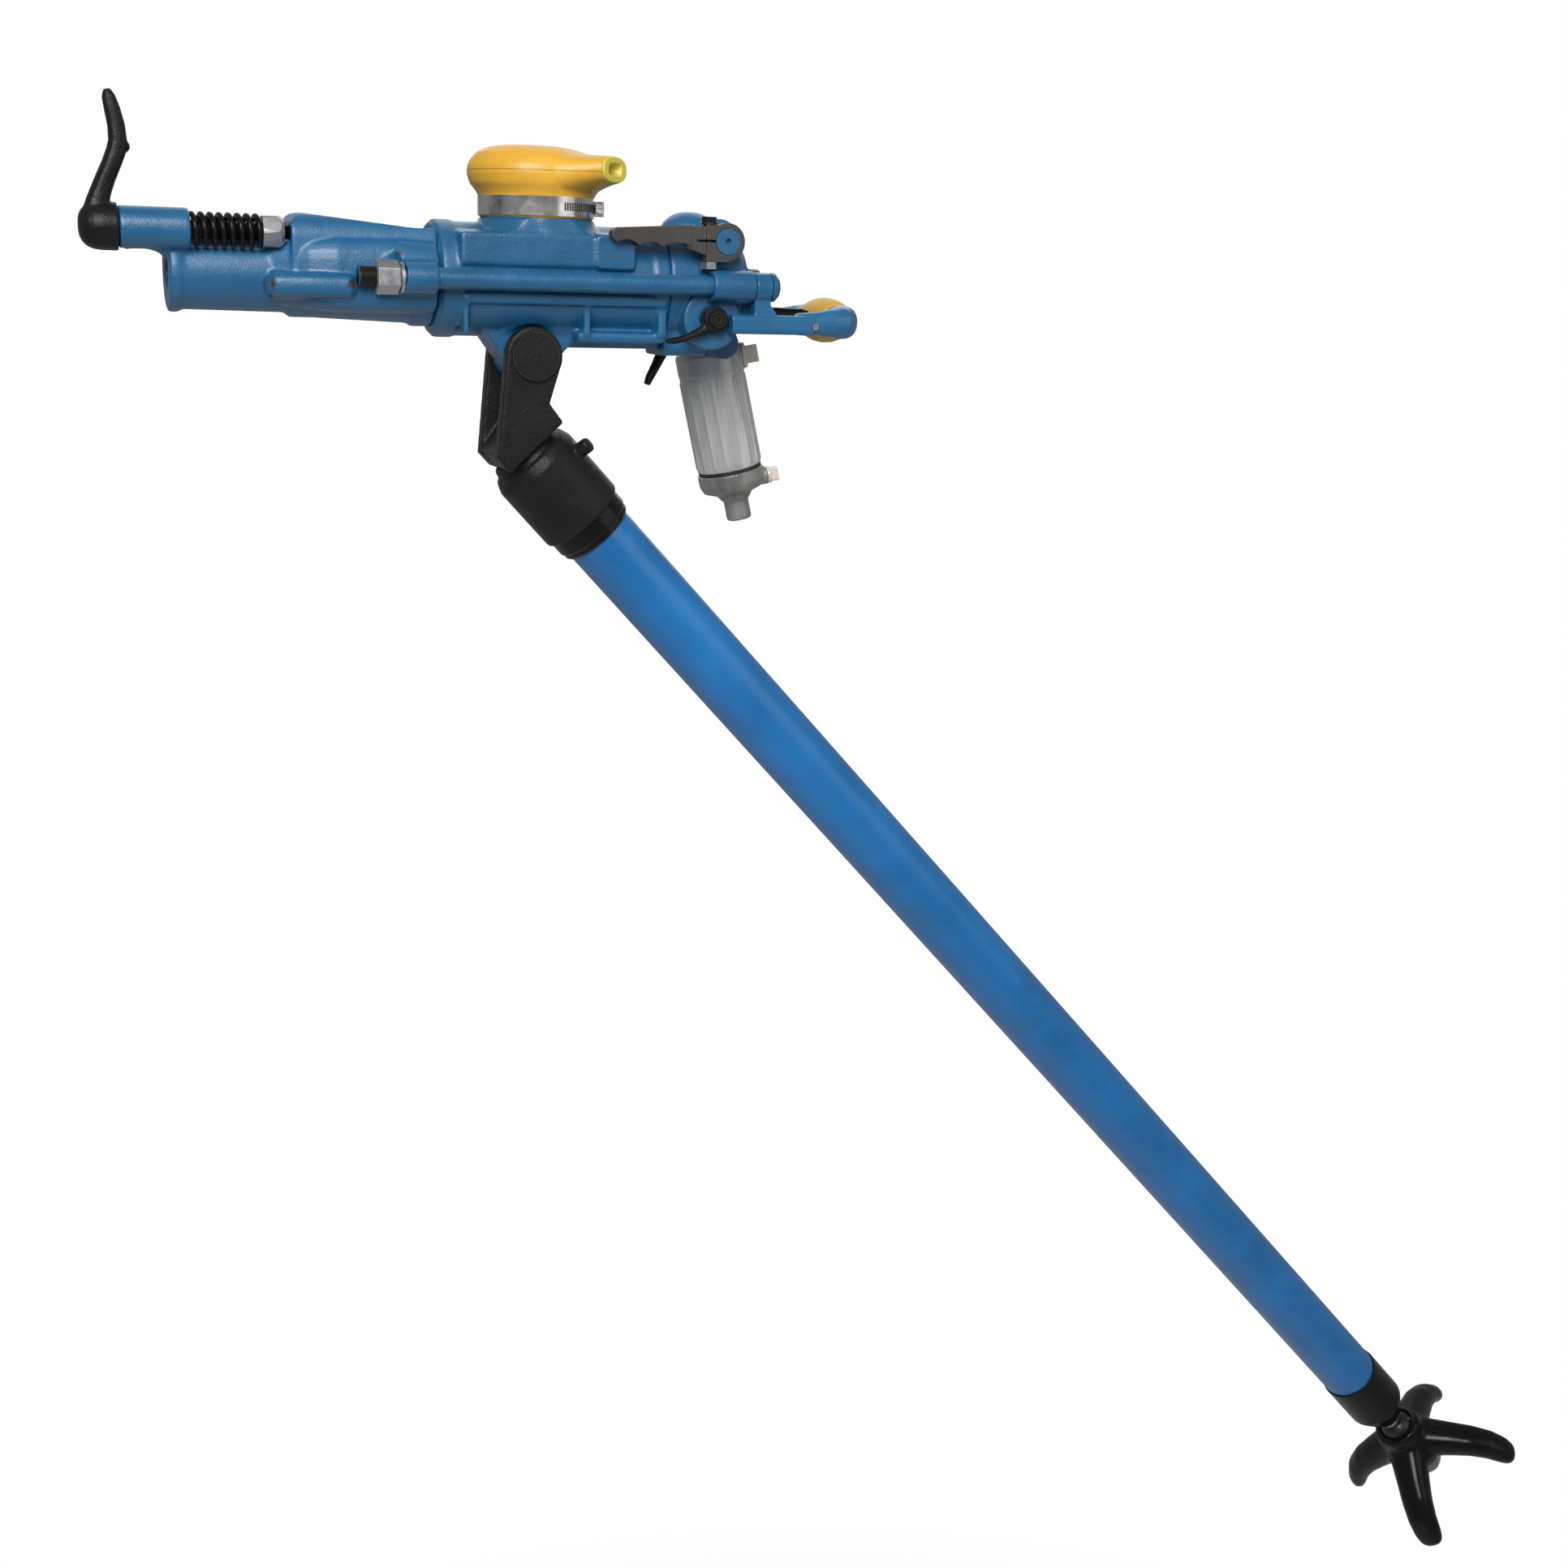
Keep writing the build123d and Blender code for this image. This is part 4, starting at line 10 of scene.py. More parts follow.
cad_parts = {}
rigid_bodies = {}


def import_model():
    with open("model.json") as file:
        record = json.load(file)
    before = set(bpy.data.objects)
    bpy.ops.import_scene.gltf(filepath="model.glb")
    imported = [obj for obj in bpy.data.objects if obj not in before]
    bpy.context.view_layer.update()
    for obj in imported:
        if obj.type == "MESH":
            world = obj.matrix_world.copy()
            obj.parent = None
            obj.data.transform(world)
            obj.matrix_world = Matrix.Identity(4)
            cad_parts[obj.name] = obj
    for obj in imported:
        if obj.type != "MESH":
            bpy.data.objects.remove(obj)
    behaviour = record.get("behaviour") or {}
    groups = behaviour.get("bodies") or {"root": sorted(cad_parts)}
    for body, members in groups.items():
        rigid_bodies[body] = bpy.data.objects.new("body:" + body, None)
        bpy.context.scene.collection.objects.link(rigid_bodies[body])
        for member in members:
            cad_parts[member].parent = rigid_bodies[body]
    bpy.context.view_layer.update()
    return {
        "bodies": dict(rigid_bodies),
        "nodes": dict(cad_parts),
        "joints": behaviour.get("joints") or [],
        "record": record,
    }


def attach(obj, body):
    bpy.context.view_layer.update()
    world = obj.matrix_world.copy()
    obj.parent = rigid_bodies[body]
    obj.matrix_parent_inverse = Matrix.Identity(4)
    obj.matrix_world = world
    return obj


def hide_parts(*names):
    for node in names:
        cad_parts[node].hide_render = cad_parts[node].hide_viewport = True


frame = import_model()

bl_info = {
    "name": "Air-leg rock drill",
    "version": (1, 0, 0),
    "blender": (4, 5, 0),
    "location": "3D View > Sidebar > Rock Drill",
    "description": "Finishes an air-leg rock drill and lights it in a plain studio",
    "category": "Object",
}

NODES = frame["nodes"]


# Shader effects shared by the materials


def add_node(tree, kind, settings=None, **sockets):
    """A shader node with its settings and its unlinked input values."""
    node = tree.nodes.new(kind)
    for key, value in (settings or {}).items():
        setattr(node, key, value)
    for key, value in sockets.items():
        node.inputs[key.replace("_", " ")].default_value = value
    return node


def join(tree, source, target):
    """A link from one socket to another."""
    tree.links.new(source, target)


def arithmetic(tree, operation, first, second=0.5, clamp=False):
    """A Math node on two sockets or values; its output socket."""
    node = tree.nodes.new("ShaderNodeMath")
    node.operation = operation
    node.use_clamp = clamp
    for socket, value in zip(node.inputs, (first, second)):
        if hasattr(value, "links"):
            join(tree, value, socket)
        else:
            socket.default_value = value
    return node.outputs[0]


def blend_colour(tree, factor, first, second):
    """A colour mix of two sockets or colours by a factor socket; its output socket."""
    node = tree.nodes.new("ShaderNodeMix")
    node.data_type = "RGBA"
    node.clamp_factor = True
    for socket, value in ((node.inputs[0], factor), (node.inputs[6], first), (node.inputs[7], second)):
        if hasattr(value, "links"):
            join(tree, value, socket)
        elif isinstance(value, (int, float)):
            socket.default_value = value
        else:
            socket.default_value = (*value[:3], 1.0)
    return node.outputs[2]


def noise(tree, vector, scale, detail=3.0, roughness=0.55):
    """A noise value on a vector socket."""
    node = add_node(tree, "ShaderNodeTexNoise", Scale=scale, Detail=detail, Roughness=roughness)
    join(tree, vector, node.inputs["Vector"])
    return node.outputs["Fac"]


def stretch(tree, vector, low, high, out_low=0.0, out_high=1.0):
    """A value remapped from one range to another, kept inside it."""
    node = add_node(
        tree,
        "ShaderNodeMapRange",
        {"clamp": True},
        From_Min=low,
        From_Max=high,
        To_Min=out_low,
        To_Max=out_high,
    )
    join(tree, vector, node.inputs["Value"])
    return node.outputs["Result"]


def new_group(name, inputs, outputs):
    """An empty shader node group with its sockets; the tree, its input node and its output node."""
    tree = bpy.data.node_groups.new(name, "ShaderNodeTree")
    for label, kind, value in inputs:
        socket = tree.interface.new_socket(label, in_out="INPUT", socket_type=kind)
        socket.default_value = value
    for label, kind in outputs:
        tree.interface.new_socket(label, in_out="OUTPUT", socket_type=kind)
    return tree, tree.nodes.new("NodeGroupInput"), tree.nodes.new("NodeGroupOutput")


def cast_skin_group():
    """Sand-cast or brushed-on skin: fine grain on soft lumps, and a tone that drifts."""
    tree, given, made = new_group(
        "Cast Skin",
        [("Grain", "NodeSocketFloat", 700.0), ("Lumps", "NodeSocketFloat", 90.0)],
        [("Height", "NodeSocketFloat"), ("Tone", "NodeSocketFloat")],
    )
    place = tree.nodes.new("ShaderNodeTexCoord").outputs["Object"]
    fine = tree.nodes.new("ShaderNodeTexNoise")
    fine.inputs["Detail"].default_value = 4.0
    join(tree, place, fine.inputs["Vector"])
    join(tree, given.outputs["Grain"], fine.inputs["Scale"])
    broad = tree.nodes.new("ShaderNodeTexNoise")
    broad.inputs["Detail"].default_value = 2.0
    join(tree, place, broad.inputs["Vector"])
    join(tree, given.outputs["Lumps"], broad.inputs["Scale"])
    height = arithmetic(
        tree,
        "ADD",
        arithmetic(tree, "MULTIPLY", fine.outputs["Fac"], 0.35),
        arithmetic(tree, "MULTIPLY", broad.outputs["Fac"], 0.65),
    )
    drift = noise(tree, place, 14.0, 4.0)
    join(tree, height, made.inputs["Height"])
    join(tree, stretch(tree, drift, 0.3, 0.7), made.inputs["Tone"])
    return tree


def edge_wear_group():
    """Where paint has rubbed off outer edges, broken up by noise."""
    tree, given, made = new_group(
        "Edge Wear",
        [
            ("Radius", "NodeSocketFloat", 0.0012),
            ("Breakup", "NodeSocketFloat", 60.0),
            ("Amount", "NodeSocketFloat", 0.4),
        ],
        [("Mask", "NodeSocketFloat")],
    )
    place = tree.nodes.new("ShaderNodeTexCoord").outputs["Object"]
    bevel = tree.nodes.new("ShaderNodeBevel")
    bevel.samples = 4
    join(tree, given.outputs["Radius"], bevel.inputs["Radius"])
    facing = tree.nodes.new("ShaderNodeNewGeometry")
    likeness = tree.nodes.new("ShaderNodeVectorMath")
    likeness.operation = "DOT_PRODUCT"
    join(tree, bevel.outputs["Normal"], likeness.inputs[0])
    join(tree, facing.outputs["Normal"], likeness.inputs[1])
    edge = stretch(tree, likeness.outputs["Value"], 0.98, 0.8)
    patchy = tree.nodes.new("ShaderNodeTexNoise")
    patchy.inputs["Detail"].default_value = 6.0
    patchy.inputs["Roughness"].default_value = 0.65
    join(tree, place, patchy.inputs["Vector"])
    join(tree, given.outputs["Breakup"], patchy.inputs["Scale"])
    threshold = arithmetic(tree, "SUBTRACT", 1.0, given.outputs["Amount"])
    lifted = arithmetic(tree, "SUBTRACT", patchy.outputs["Fac"], arithmetic(tree, "MULTIPLY", threshold, 0.8))
    broken = stretch(tree, lifted, 0.0, 0.06)
    join(tree, arithmetic(tree, "MULTIPLY", edge, broken, True), made.inputs["Mask"])
    return tree


def spot_group():
    """A patch round one point, with a ragged edge."""
    tree, given, made = new_group(
        "Ragged Spot",
        [
            ("Centre", "NodeSocketVector", (0.0, 0.0, 0.0)),
            ("Radius", "NodeSocketFloat", 0.01),
            ("Ragged", "NodeSocketFloat", 250.0),
        ],
        [("Mask", "NodeSocketFloat")],
    )
    place = tree.nodes.new("ShaderNodeTexCoord").outputs["Object"]
    reach = tree.nodes.new("ShaderNodeVectorMath")
    reach.operation = "DISTANCE"
    join(tree, place, reach.inputs[0])
    join(tree, given.outputs["Centre"], reach.inputs[1])
    ragged = tree.nodes.new("ShaderNodeTexNoise")
    ragged.inputs["Detail"].default_value = 5.0
    join(tree, place, ragged.inputs["Vector"])
    join(tree, given.outputs["Ragged"], ragged.inputs["Scale"])
    share = arithmetic(tree, "DIVIDE", reach.outputs["Value"], given.outputs["Radius"])
    bitten = arithmetic(tree, "ADD", share, arithmetic(tree, "MULTIPLY", ragged.outputs["Fac"], 1.1))
    join(tree, stretch(tree, bitten, 1.15, 0.95), made.inputs["Mask"])
    return tree


def brushed_group():
    """Fine turning or grinding lines round or along one axis."""
    tree, given, made = new_group(
        "Ground Lines",
        [("Across", "NodeSocketVector", (2500.0, 60.0, 60.0))],
        [("Height", "NodeSocketFloat"), ("Tone", "NodeSocketFloat")],
    )
    place = tree.nodes.new("ShaderNodeTexCoord").outputs["Object"]
    scaled = tree.nodes.new("ShaderNodeVectorMath")
    scaled.operation = "MULTIPLY"
    join(tree, place, scaled.inputs[0])
    join(tree, given.outputs["Across"], scaled.inputs[1])
    lines = noise(tree, scaled.outputs["Vector"], 1.0, 3.0)
    tone = noise(tree, place, 45.0, 3.0)
    join(tree, lines, made.inputs["Height"])
    join(tree, stretch(tree, tone, 0.3, 0.7), made.inputs["Tone"])
    return tree


def soot_group():
    """Dust and oily grime that gathers in broad patches."""
    tree, given, made = new_group(
        "Grime",
        [("Scale", "NodeSocketFloat", 25.0), ("Cover", "NodeSocketFloat", 0.3)],
        [("Mask", "NodeSocketFloat")],
    )
    place = tree.nodes.new("ShaderNodeTexCoord").outputs["Object"]
    patch = tree.nodes.new("ShaderNodeTexNoise")
    patch.inputs["Detail"].default_value = 7.0
    patch.inputs["Roughness"].default_value = 0.62
    join(tree, place, patch.inputs["Vector"])
    join(tree, given.outputs["Scale"], patch.inputs["Scale"])
    start = arithmetic(tree, "SUBTRACT", 0.75, arithmetic(tree, "MULTIPLY", given.outputs["Cover"], 0.5))
    over = arithmetic(tree, "SUBTRACT", patch.outputs["Fac"], start)
    join(tree, stretch(tree, over, 0.0, 0.25), made.inputs["Mask"])
    return tree


GROUPS = {}


def effect(tree, name, **sockets):
    """One of the shared effect groups placed in a material's tree, with its own values."""
    if not GROUPS:
        for build in (cast_skin_group, edge_wear_group, spot_group, brushed_group, soot_group):
            group = build()
            GROUPS[group.name] = group
    node = tree.nodes.new("ShaderNodeGroup")
    node.node_tree = GROUPS[name]
    for key, value in sockets.items():
        node.inputs[key].default_value = value
    return node


# Materials of the drill's own finishes


def new_surface(name):
    """A material with an empty tree; the material, its tree and its Principled shader."""
    material = bpy.data.materials.new(name)
    material.use_nodes = True
    tree = material.node_tree
    tree.nodes.clear()
    shader = tree.nodes.new("ShaderNodeBsdfPrincipled")
    output = tree.nodes.new("ShaderNodeOutputMaterial")
    join(tree, shader.outputs[0], output.inputs["Surface"])
    return material, tree, shader


def relief(tree, shader, height, distance, strength=1.0):
    """A Bump node on the shader's normal."""
    bump = add_node(tree, "ShaderNodeBump", Strength=strength, Distance=distance)
    join(tree, height, bump.inputs["Height"])
    join(tree, bump.outputs["Normal"], shader.inputs["Normal"])


def dimmed(colour, share):
    """A colour with its light scaled."""
    return tuple(channel * share for channel in colour[:3])


def painted_casting(name, paint, bare, grain, lumps, depth, gloss, wear, spots=()):
    """Enamel over an iron casting: grain, drifting tone, worn edges and rusty spots."""
    material, tree, shader = new_surface(name)
    skin = effect(tree, "Cast Skin", Grain=grain, Lumps=lumps)
    worn = effect(tree, "Edge Wear", Radius=0.0014, Breakup=55.0, Amount=wear)
    dirt = effect(tree, "Grime", Scale=22.0, Cover=0.35)
    colour = blend_colour(tree, skin.outputs["Tone"], dimmed(paint, 0.84), dimmed(paint, 1.14))
    soiled = arithmetic(tree, "MULTIPLY", dirt.outputs["Mask"], 0.4)
    colour = blend_colour(tree, soiled, colour, dimmed(paint, 0.5))
    mask = worn.outputs["Mask"]
    colour = blend_colour(tree, mask, colour, bare)
    rough = stretch(tree, skin.outputs["Tone"], 0.0, 1.0, gloss - 0.06, gloss + 0.1)
    for centre, radius in spots:
        patch = effect(tree, "Ragged Spot", Centre=centre, Radius=radius, Ragged=190.0)
        rust = blend_colour(
            tree,
            noise(tree, tree.nodes.new("ShaderNodeTexCoord").outputs["Object"], 420.0),
            (0.010, 0.008, 0.007),
            (0.10, 0.062, 0.042),
        )
        colour = blend_colour(tree, patch.outputs["Mask"], colour, rust)
        mask = arithmetic(tree, "MAXIMUM", mask, patch.outputs["Mask"])
    rough = arithmetic(tree, "ADD", rough, arithmetic(tree, "MULTIPLY", mask, 0.25), True)
    join(tree, colour, shader.inputs["Base Color"])
    join(tree, rough, shader.inputs["Roughness"])
    height = arithmetic(tree, "SUBTRACT", skin.outputs["Height"], arithmetic(tree, "MULTIPLY", mask, 0.5))
    relief(tree, shader, height, depth)
    dark = max(paint) < 0.03
    shader.inputs["Specular IOR Level"].default_value = 0.2 if dark else 0.5
    shader.inputs["Coat Weight"].default_value = 0.0 if dark else 0.3
    shader.inputs["Coat Roughness"].default_value = 0.3
    return material


def bright_metal(name, colour, shade, rough, across, depth=0.00004):
    """Bare metal with its turning or plating lines."""
    material, tree, shader = new_surface(name)
    lines = effect(tree, "Ground Lines", Across=across)
    dirt = effect(tree, "Grime", Scale=70.0, Cover=0.25)
    # The tone drifts in broad patches between shade and colour. On most metals this is random tone; on the band the two
    # colours lie far apart, so the patches are painted reflections.
    tone = blend_colour(tree, lines.outputs["Tone"], shade, colour)
    tone = blend_colour(tree, arithmetic(tree, "MULTIPLY", dirt.outputs["Mask"], 0.2), tone, dimmed(shade, 0.5))
    join(tree, tone, shader.inputs["Base Color"])
    shader.inputs["Metallic"].default_value = 1.0
    roughness = stretch(tree, lines.outputs["Height"], 0.3, 0.7, rough - 0.07, rough + 0.1)
    join(tree, roughness, shader.inputs["Roughness"])
    relief(tree, shader, lines.outputs["Height"], depth)
    return material


def moulded_rubber(name, colour, deep, gloss, grain=900.0, depth=0.00008, soft=0.0, seam=None):
    """Moulded rubber or plastic: matt skin, a slow drift of colour and a little grime."""
    material, tree, shader = new_surface(name)
    skin = effect(tree, "Cast Skin", Grain=grain, Lumps=120.0)
    dirt = effect(tree, "Grime", Scale=30.0, Cover=0.3)
    tone = blend_colour(tree, skin.outputs["Tone"], deep, colour)
    tone = blend_colour(tree, arithmetic(tree, "MULTIPLY", dirt.outputs["Mask"], 0.35), tone, dimmed(deep, 0.6))
    if seam is not None:
        parts = tree.nodes.new("ShaderNodeSeparateXYZ")
        join(tree, tree.nodes.new("ShaderNodeTexCoord").outputs["Object"], parts.inputs[0])
        off = arithmetic(tree, "ABSOLUTE", arithmetic(tree, "SUBTRACT", parts.outputs["Z"], seam))
        tone = blend_colour(tree, stretch(tree, off, 0.0003, 0.0007), dimmed(deep, 0.6), tone)
    join(tree, tone, shader.inputs["Base Color"])
    rough = stretch(tree, skin.outputs["Tone"], 0.0, 1.0, gloss - 0.05, gloss + 0.08)
    join(tree, rough, shader.inputs["Roughness"])
    if soft:
        shader.inputs["Subsurface Weight"].default_value = soft
        shader.inputs["Subsurface Scale"].default_value = 0.01
    relief(tree, shader, skin.outputs["Height"], depth)
    return material


def oiler_plastic(name, colour, deep):
    """Grey moulded body with flow streaks down its length."""
    material, tree, shader = new_surface(name)
    lines = effect(tree, "Ground Lines", Across=(75.0, 75.0, 3.0))
    dirt = effect(tree, "Grime", Scale=40.0, Cover=0.4)
    tone = blend_colour(tree, stretch(tree, lines.outputs["Height"], 0.3, 0.7), deep, colour)
    tone = blend_colour(tree, arithmetic(tree, "MULTIPLY", dirt.outputs["Mask"], 0.4), tone, dimmed(deep, 0.6))
    join(tree, tone, shader.inputs["Base Color"])
    rough = stretch(tree, lines.outputs["Height"], 0.3, 0.7, 0.22, 0.42)
    join(tree, rough, shader.inputs["Roughness"])
    shader.inputs["Metallic"].default_value = 0.1
    shader.inputs["Coat Weight"].default_value = 0.35
    shader.inputs["Coat Roughness"].default_value = 0.2
    relief(tree, shader, lines.outputs["Height"], 0.00012)
    return material


def blackened_rod(name, colour, shade, paint, across):
    """Ground rod whose ball end is blackened."""
    material = bright_metal(name, colour, shade, 0.28, across)
    tree = material.node_tree
    shader = tree.nodes["Principled BSDF"]
    end = effect(tree, "Ragged Spot", Centre=(1.5147, 0.0, -1.4501), Radius=0.075, Ragged=60.0)
    bare = shader.inputs["Base Color"].links[0].from_socket
    join(tree, blend_colour(tree, end.outputs["Mask"], bare, paint), shader.inputs["Base Color"])
    join(tree, arithmetic(tree, "SUBTRACT", 1.0, end.outputs["Mask"]), shader.inputs["Metallic"])
    return material


class RockDrillColours(bpy.types.PropertyGroup):
    """Colours and finishes of the drill."""

    casting_blue: bpy.props.FloatVectorProperty(
        name="Casting Blue",
        description="Enamel on the heads, cylinder, side rods and handle",
        subtype="COLOR",
        size=3,
        min=0.0,
        max=1.0,
        default=(0.008, 0.098, 0.218),
    )
    tube_blue: bpy.props.FloatVectorProperty(
        name="Tube Blue",
        description="Enamel on the leg's tube",
        subtype="COLOR",
        size=3,
        min=0.0,
        max=1.0,
        default=(0.004, 0.150, 0.415),
    )
    enamel_black: bpy.props.FloatVectorProperty(
        name="Enamel Black",
        description="Black on the leg's castings",
        subtype="COLOR",
        size=3,
        min=0.0,
        max=1.0,
        default=(0.0085, 0.008, 0.008),
    )
    amber: bpy.props.FloatVectorProperty(
        name="Amber",
        description="Rubber of the exhaust silencer",
        subtype="COLOR",
        size=3,
        min=0.0,
        max=1.0,
        default=(0.78, 0.42, 0.035),
    )
    grip_yellow: bpy.props.FloatVectorProperty(
        name="Grip Yellow",
        description="Rubber of the hand grip",
        subtype="COLOR",
        size=3,
        min=0.0,
        max=1.0,
        default=(0.68, 0.42, 0.03),
    )
    oiler_grey: bpy.props.FloatVectorProperty(
        name="Oiler Grey",
        description="Moulded body of the line oiler",
        subtype="COLOR",
        size=3,
        min=0.0,
        max=1.0,
        default=(0.52, 0.52, 0.5),
    )
    wear: bpy.props.FloatProperty(
        name="Wear",
        description="How much paint has gone from the castings' edges",
        subtype="FACTOR",
        min=0.0,
        max=1.0,
        default=0.32,
    )


IRON = (0.035, 0.03, 0.028)
HEAD_SPOTS = (
    ((0.0830, -0.0590, -0.009), 0.0095),
    ((0.1530, -0.0600, -0.007), 0.0085),
    ((0.1965, -0.0580, 0.020), 0.0060),
    ((-0.0240, -0.0480, 0.052), 0.0050),
)


def drill_materials(colours):
    """Every finish of the drill by name."""
    blue = tuple(colours.casting_blue)
    black = tuple(colours.enamel_black)
    lines_x = (60.0, 2400.0, 2400.0)
    lines_y = (2400.0, 60.0, 2400.0)
    wear = colours.wear
    return {
        "rod_steel": blackened_rod("rod_steel", (0.5, 0.5, 0.51), (0.32, 0.32, 0.33), black, lines_x),
        "head_blue": painted_casting("head_blue", blue, IRON, 620, 75, 0.0011, 0.36, wear, HEAD_SPOTS),
        "casting_blue": painted_casting("casting_blue", blue, IRON, 620, 75, 0.0011, 0.36, wear),
        "bar_blue": painted_casting("bar_blue", dimmed(blue, 1.12), IRON, 380, 60, 0.0003, 0.3, wear * 0.8),
        "tube_blue": painted_casting("tube_blue", tuple(colours.tube_blue), IRON, 160, 25, 0.0001, 0.36, 0.15),
        "cast_black": painted_casting("cast_black", dimmed(black, 1.5), (0.07, 0.06, 0.055), 330, 60, 0.0016, 0.4, 0.5),
        "gloss_black": painted_casting("gloss_black", dimmed(black, 0.6), (0.05, 0.05, 0.05), 150, 40, 0.0003, 0.2, 0.2),
        "lever_black": painted_casting("lever_black", black, (0.07, 0.066, 0.062), 520, 80, 0.0006, 0.36, 0.4),
        "forged_brown": painted_casting(
            "forged_brown", (0.045, 0.037, 0.034), (0.12, 0.11, 0.1), 520, 80, 0.0007, 0.42, 0.5
        ),
        "zinc": bright_metal("zinc", (0.5, 0.5, 0.51), (0.4, 0.4, 0.41), 0.38, (90.0, 90.0, 90.0)),
        "ground_steel": bright_metal("ground_steel", (0.5, 0.5, 0.51), (0.32, 0.32, 0.33), 0.28, lines_x),
        # The clamp band's colour swings between near-white and dark in broad patches: painted reflections of a polished
        # band, on top of its real metallic gloss.
        "band_steel_painted_reflections": bright_metal("band_steel_painted_reflections", (0.86, 0.84, 0.81), (0.26, 0.24, 0.22), 0.2, (42.0, 42.0, 4.0)),
        "pin_steel": bright_metal("pin_steel", (0.45, 0.45, 0.45), (0.25, 0.25, 0.25), 0.35, lines_y),
        "bronze": bright_metal("bronze", (0.6, 0.4, 0.17), (0.38, 0.24, 0.09), 0.3, lines_x),
        "amber": moulded_rubber("amber", tuple(colours.amber), dimmed(colours.amber, 0.8), 0.4, soft=0.08, seam=0.0985),
        "nozzle": moulded_rubber("nozzle", (0.86, 0.74, 0.10), (0.72, 0.6, 0.08), 0.4, soft=0.05),
        "grip": moulded_rubber("grip", tuple(colours.grip_yellow), dimmed(colours.grip_yellow, 0.7), 0.45),
        "oiler": oiler_plastic("oiler", tuple(colours.oiler_grey), dimmed(colours.oiler_grey, 0.74)),
        "oiler_cap": oiler_plastic("oiler_cap", (0.25, 0.25, 0.225), (0.13, 0.13, 0.115)),
        "beige": moulded_rubber("beige", (0.74, 0.66, 0.56), (0.62, 0.55, 0.46), 0.35),
        "black_rubber": moulded_rubber("black_rubber", (0.014, 0.014, 0.014), (0.01, 0.01, 0.01), 0.5),
    }


FINISHES = {
    "head_blue": ("front_head",),
    "casting_blue": ("cylinder", "rear_head", "side_rods", "throttle_valve"),
    "bar_blue": ("handle_frame",),
    "tube_blue": ("leg_outer_tube",),
    "cast_black": ("leg_yoke", "leg_pivot_shaft", "leg_head"),
    "gloss_black": ("leg_collar", "leg_end_cap", "leg_foot"),
    "forged_brown": ("throttle_lever",),
    "lever_black": (
        "steel_retainer",
        "retainer_bolt",
        "retainer_spring",
        "throttle_clamp_bolt",
        "regulator_lever",
        "regulator_lever_far",
        "regulator_bolt",
        "retract_trigger",
    ),
    "zinc": (
        "retainer_nut",
        "side_rod_nuts",
        "side_rod_washers",
        "throttle_clamp_nut",
        "inlet_nut",
        "clamp_screw",
        "water_inlet",
    ),
    "ground_steel": (
        "chuck_driver",
        "chuck_bushing",
        "piston",
        "rifle_bar",
        "ratchet_ring",
        "pawls",
        "valve",
        "valve_chest",
        "valve_cover",
        "regulator_valve",
        "water_needle",
        "leg_piston",
    ),
    "rod_steel": ("leg_rod",),
    "band_steel_painted_reflections": ("silencer_clamp",),
    "pin_steel": ("trigger_pin",),
    "bronze": ("front_guide_bush", "rifle_nut", "leg_guide_bush"),
    "amber": ("exhaust_silencer",),
    "grip": ("handle_grip",),
    "oiler": ("lubricator_body",),
    "oiler_cap": ("lubricator_end_cap", "air_inlet_elbow"),
    "beige": ("filler_plug", "oil_knob"),
    "black_rubber": ("lubricator_o_ring", "leg_piston_seal"),
}


# Shaping tools for the pieces


MM = 0.001
FINISHED = {}


def finish_of(name):
    """A finish by name; all of them are made on the first call."""
    if not FINISHED:
        FINISHED.update(drill_materials(bpy.context.scene.rock_drill))
    return FINISHED[name]


def new_piece(form, name, finish):
    """An object in the scene from a bmesh, shaded smooth, with its finish."""
    mesh = bpy.data.meshes.new(name)
    form.to_mesh(mesh)
    form.free()
    mesh.materials.append(finish_of(finish))
    mesh.shade_smooth()
    piece = bpy.data.objects.new(name, mesh)
    bpy.context.scene.collection.objects.link(piece)
    return piece


def apply_modifiers(piece):
    """The piece's modifiers worked into its mesh."""
    graph = bpy.context.evaluated_depsgraph_get()
    shape = bpy.data.meshes.new_from_object(piece.evaluated_get(graph))
    rough = piece.data
    piece.modifiers.clear()
    piece.data = shape
    bpy.data.meshes.remove(rough)
    shape.shade_smooth()


def soften(piece, voxel, rounds, factor=0.5):
    """One closed skin over every shell of the piece, with its corners rounded as a casting's are."""
    skin = piece.modifiers.new("skin", "REMESH")
    skin.mode = "VOXEL"
    skin.voxel_size = voxel
    soft = piece.modifiers.new("soft", "SMOOTH")
    soft.factor = factor
    soft.iterations = rounds
    apply_modifiers(piece)


def cut_away(piece, form):
    """The piece less the closed form."""
    mesh = bpy.data.meshes.new("cutter")
    form.to_mesh(mesh)
    form.free()
    cutter = bpy.data.objects.new("cutter", mesh)
    bpy.context.scene.collection.objects.link(cutter)
    cut = piece.modifiers.new("cut", "BOOLEAN")
    cut.operation = "DIFFERENCE"
    cut.solver = "EXACT"
    cut.object = cutter
    apply_modifiers(piece)
    bpy.data.objects.remove(cutter)
    bpy.data.meshes.remove(mesh)


def settle(piece, body, slot, *nodes):
    """The piece rides its body and stands for its CAD nodes, which are hidden; the slot argument is not used."""
    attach(piece, body)
    if nodes:
        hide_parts(*nodes)
    return piece


def cad_copy(name):
    """A bmesh of a CAD node with its loose corners joined."""
    form = bmesh.new()
    form.from_mesh(NODES[name].data)
    bmesh.ops.remove_doubles(form, verts=form.verts, dist=0.00001)
    return form


def station(place, ahead, side, width, depth):
    """Where a section of a tapering body stands: its centre, direction and half sizes, in millimetres."""
    forward = Vector(ahead).normalized()
    across = Vector(side)
    across = (across - across.dot(forward) * forward).normalized()
    other = forward.cross(across)
    turn = Matrix((across * width * MM, other * depth * MM, forward * MM)).transposed()
    return Matrix.Translation(Vector(place) * MM) @ turn.to_4x4()


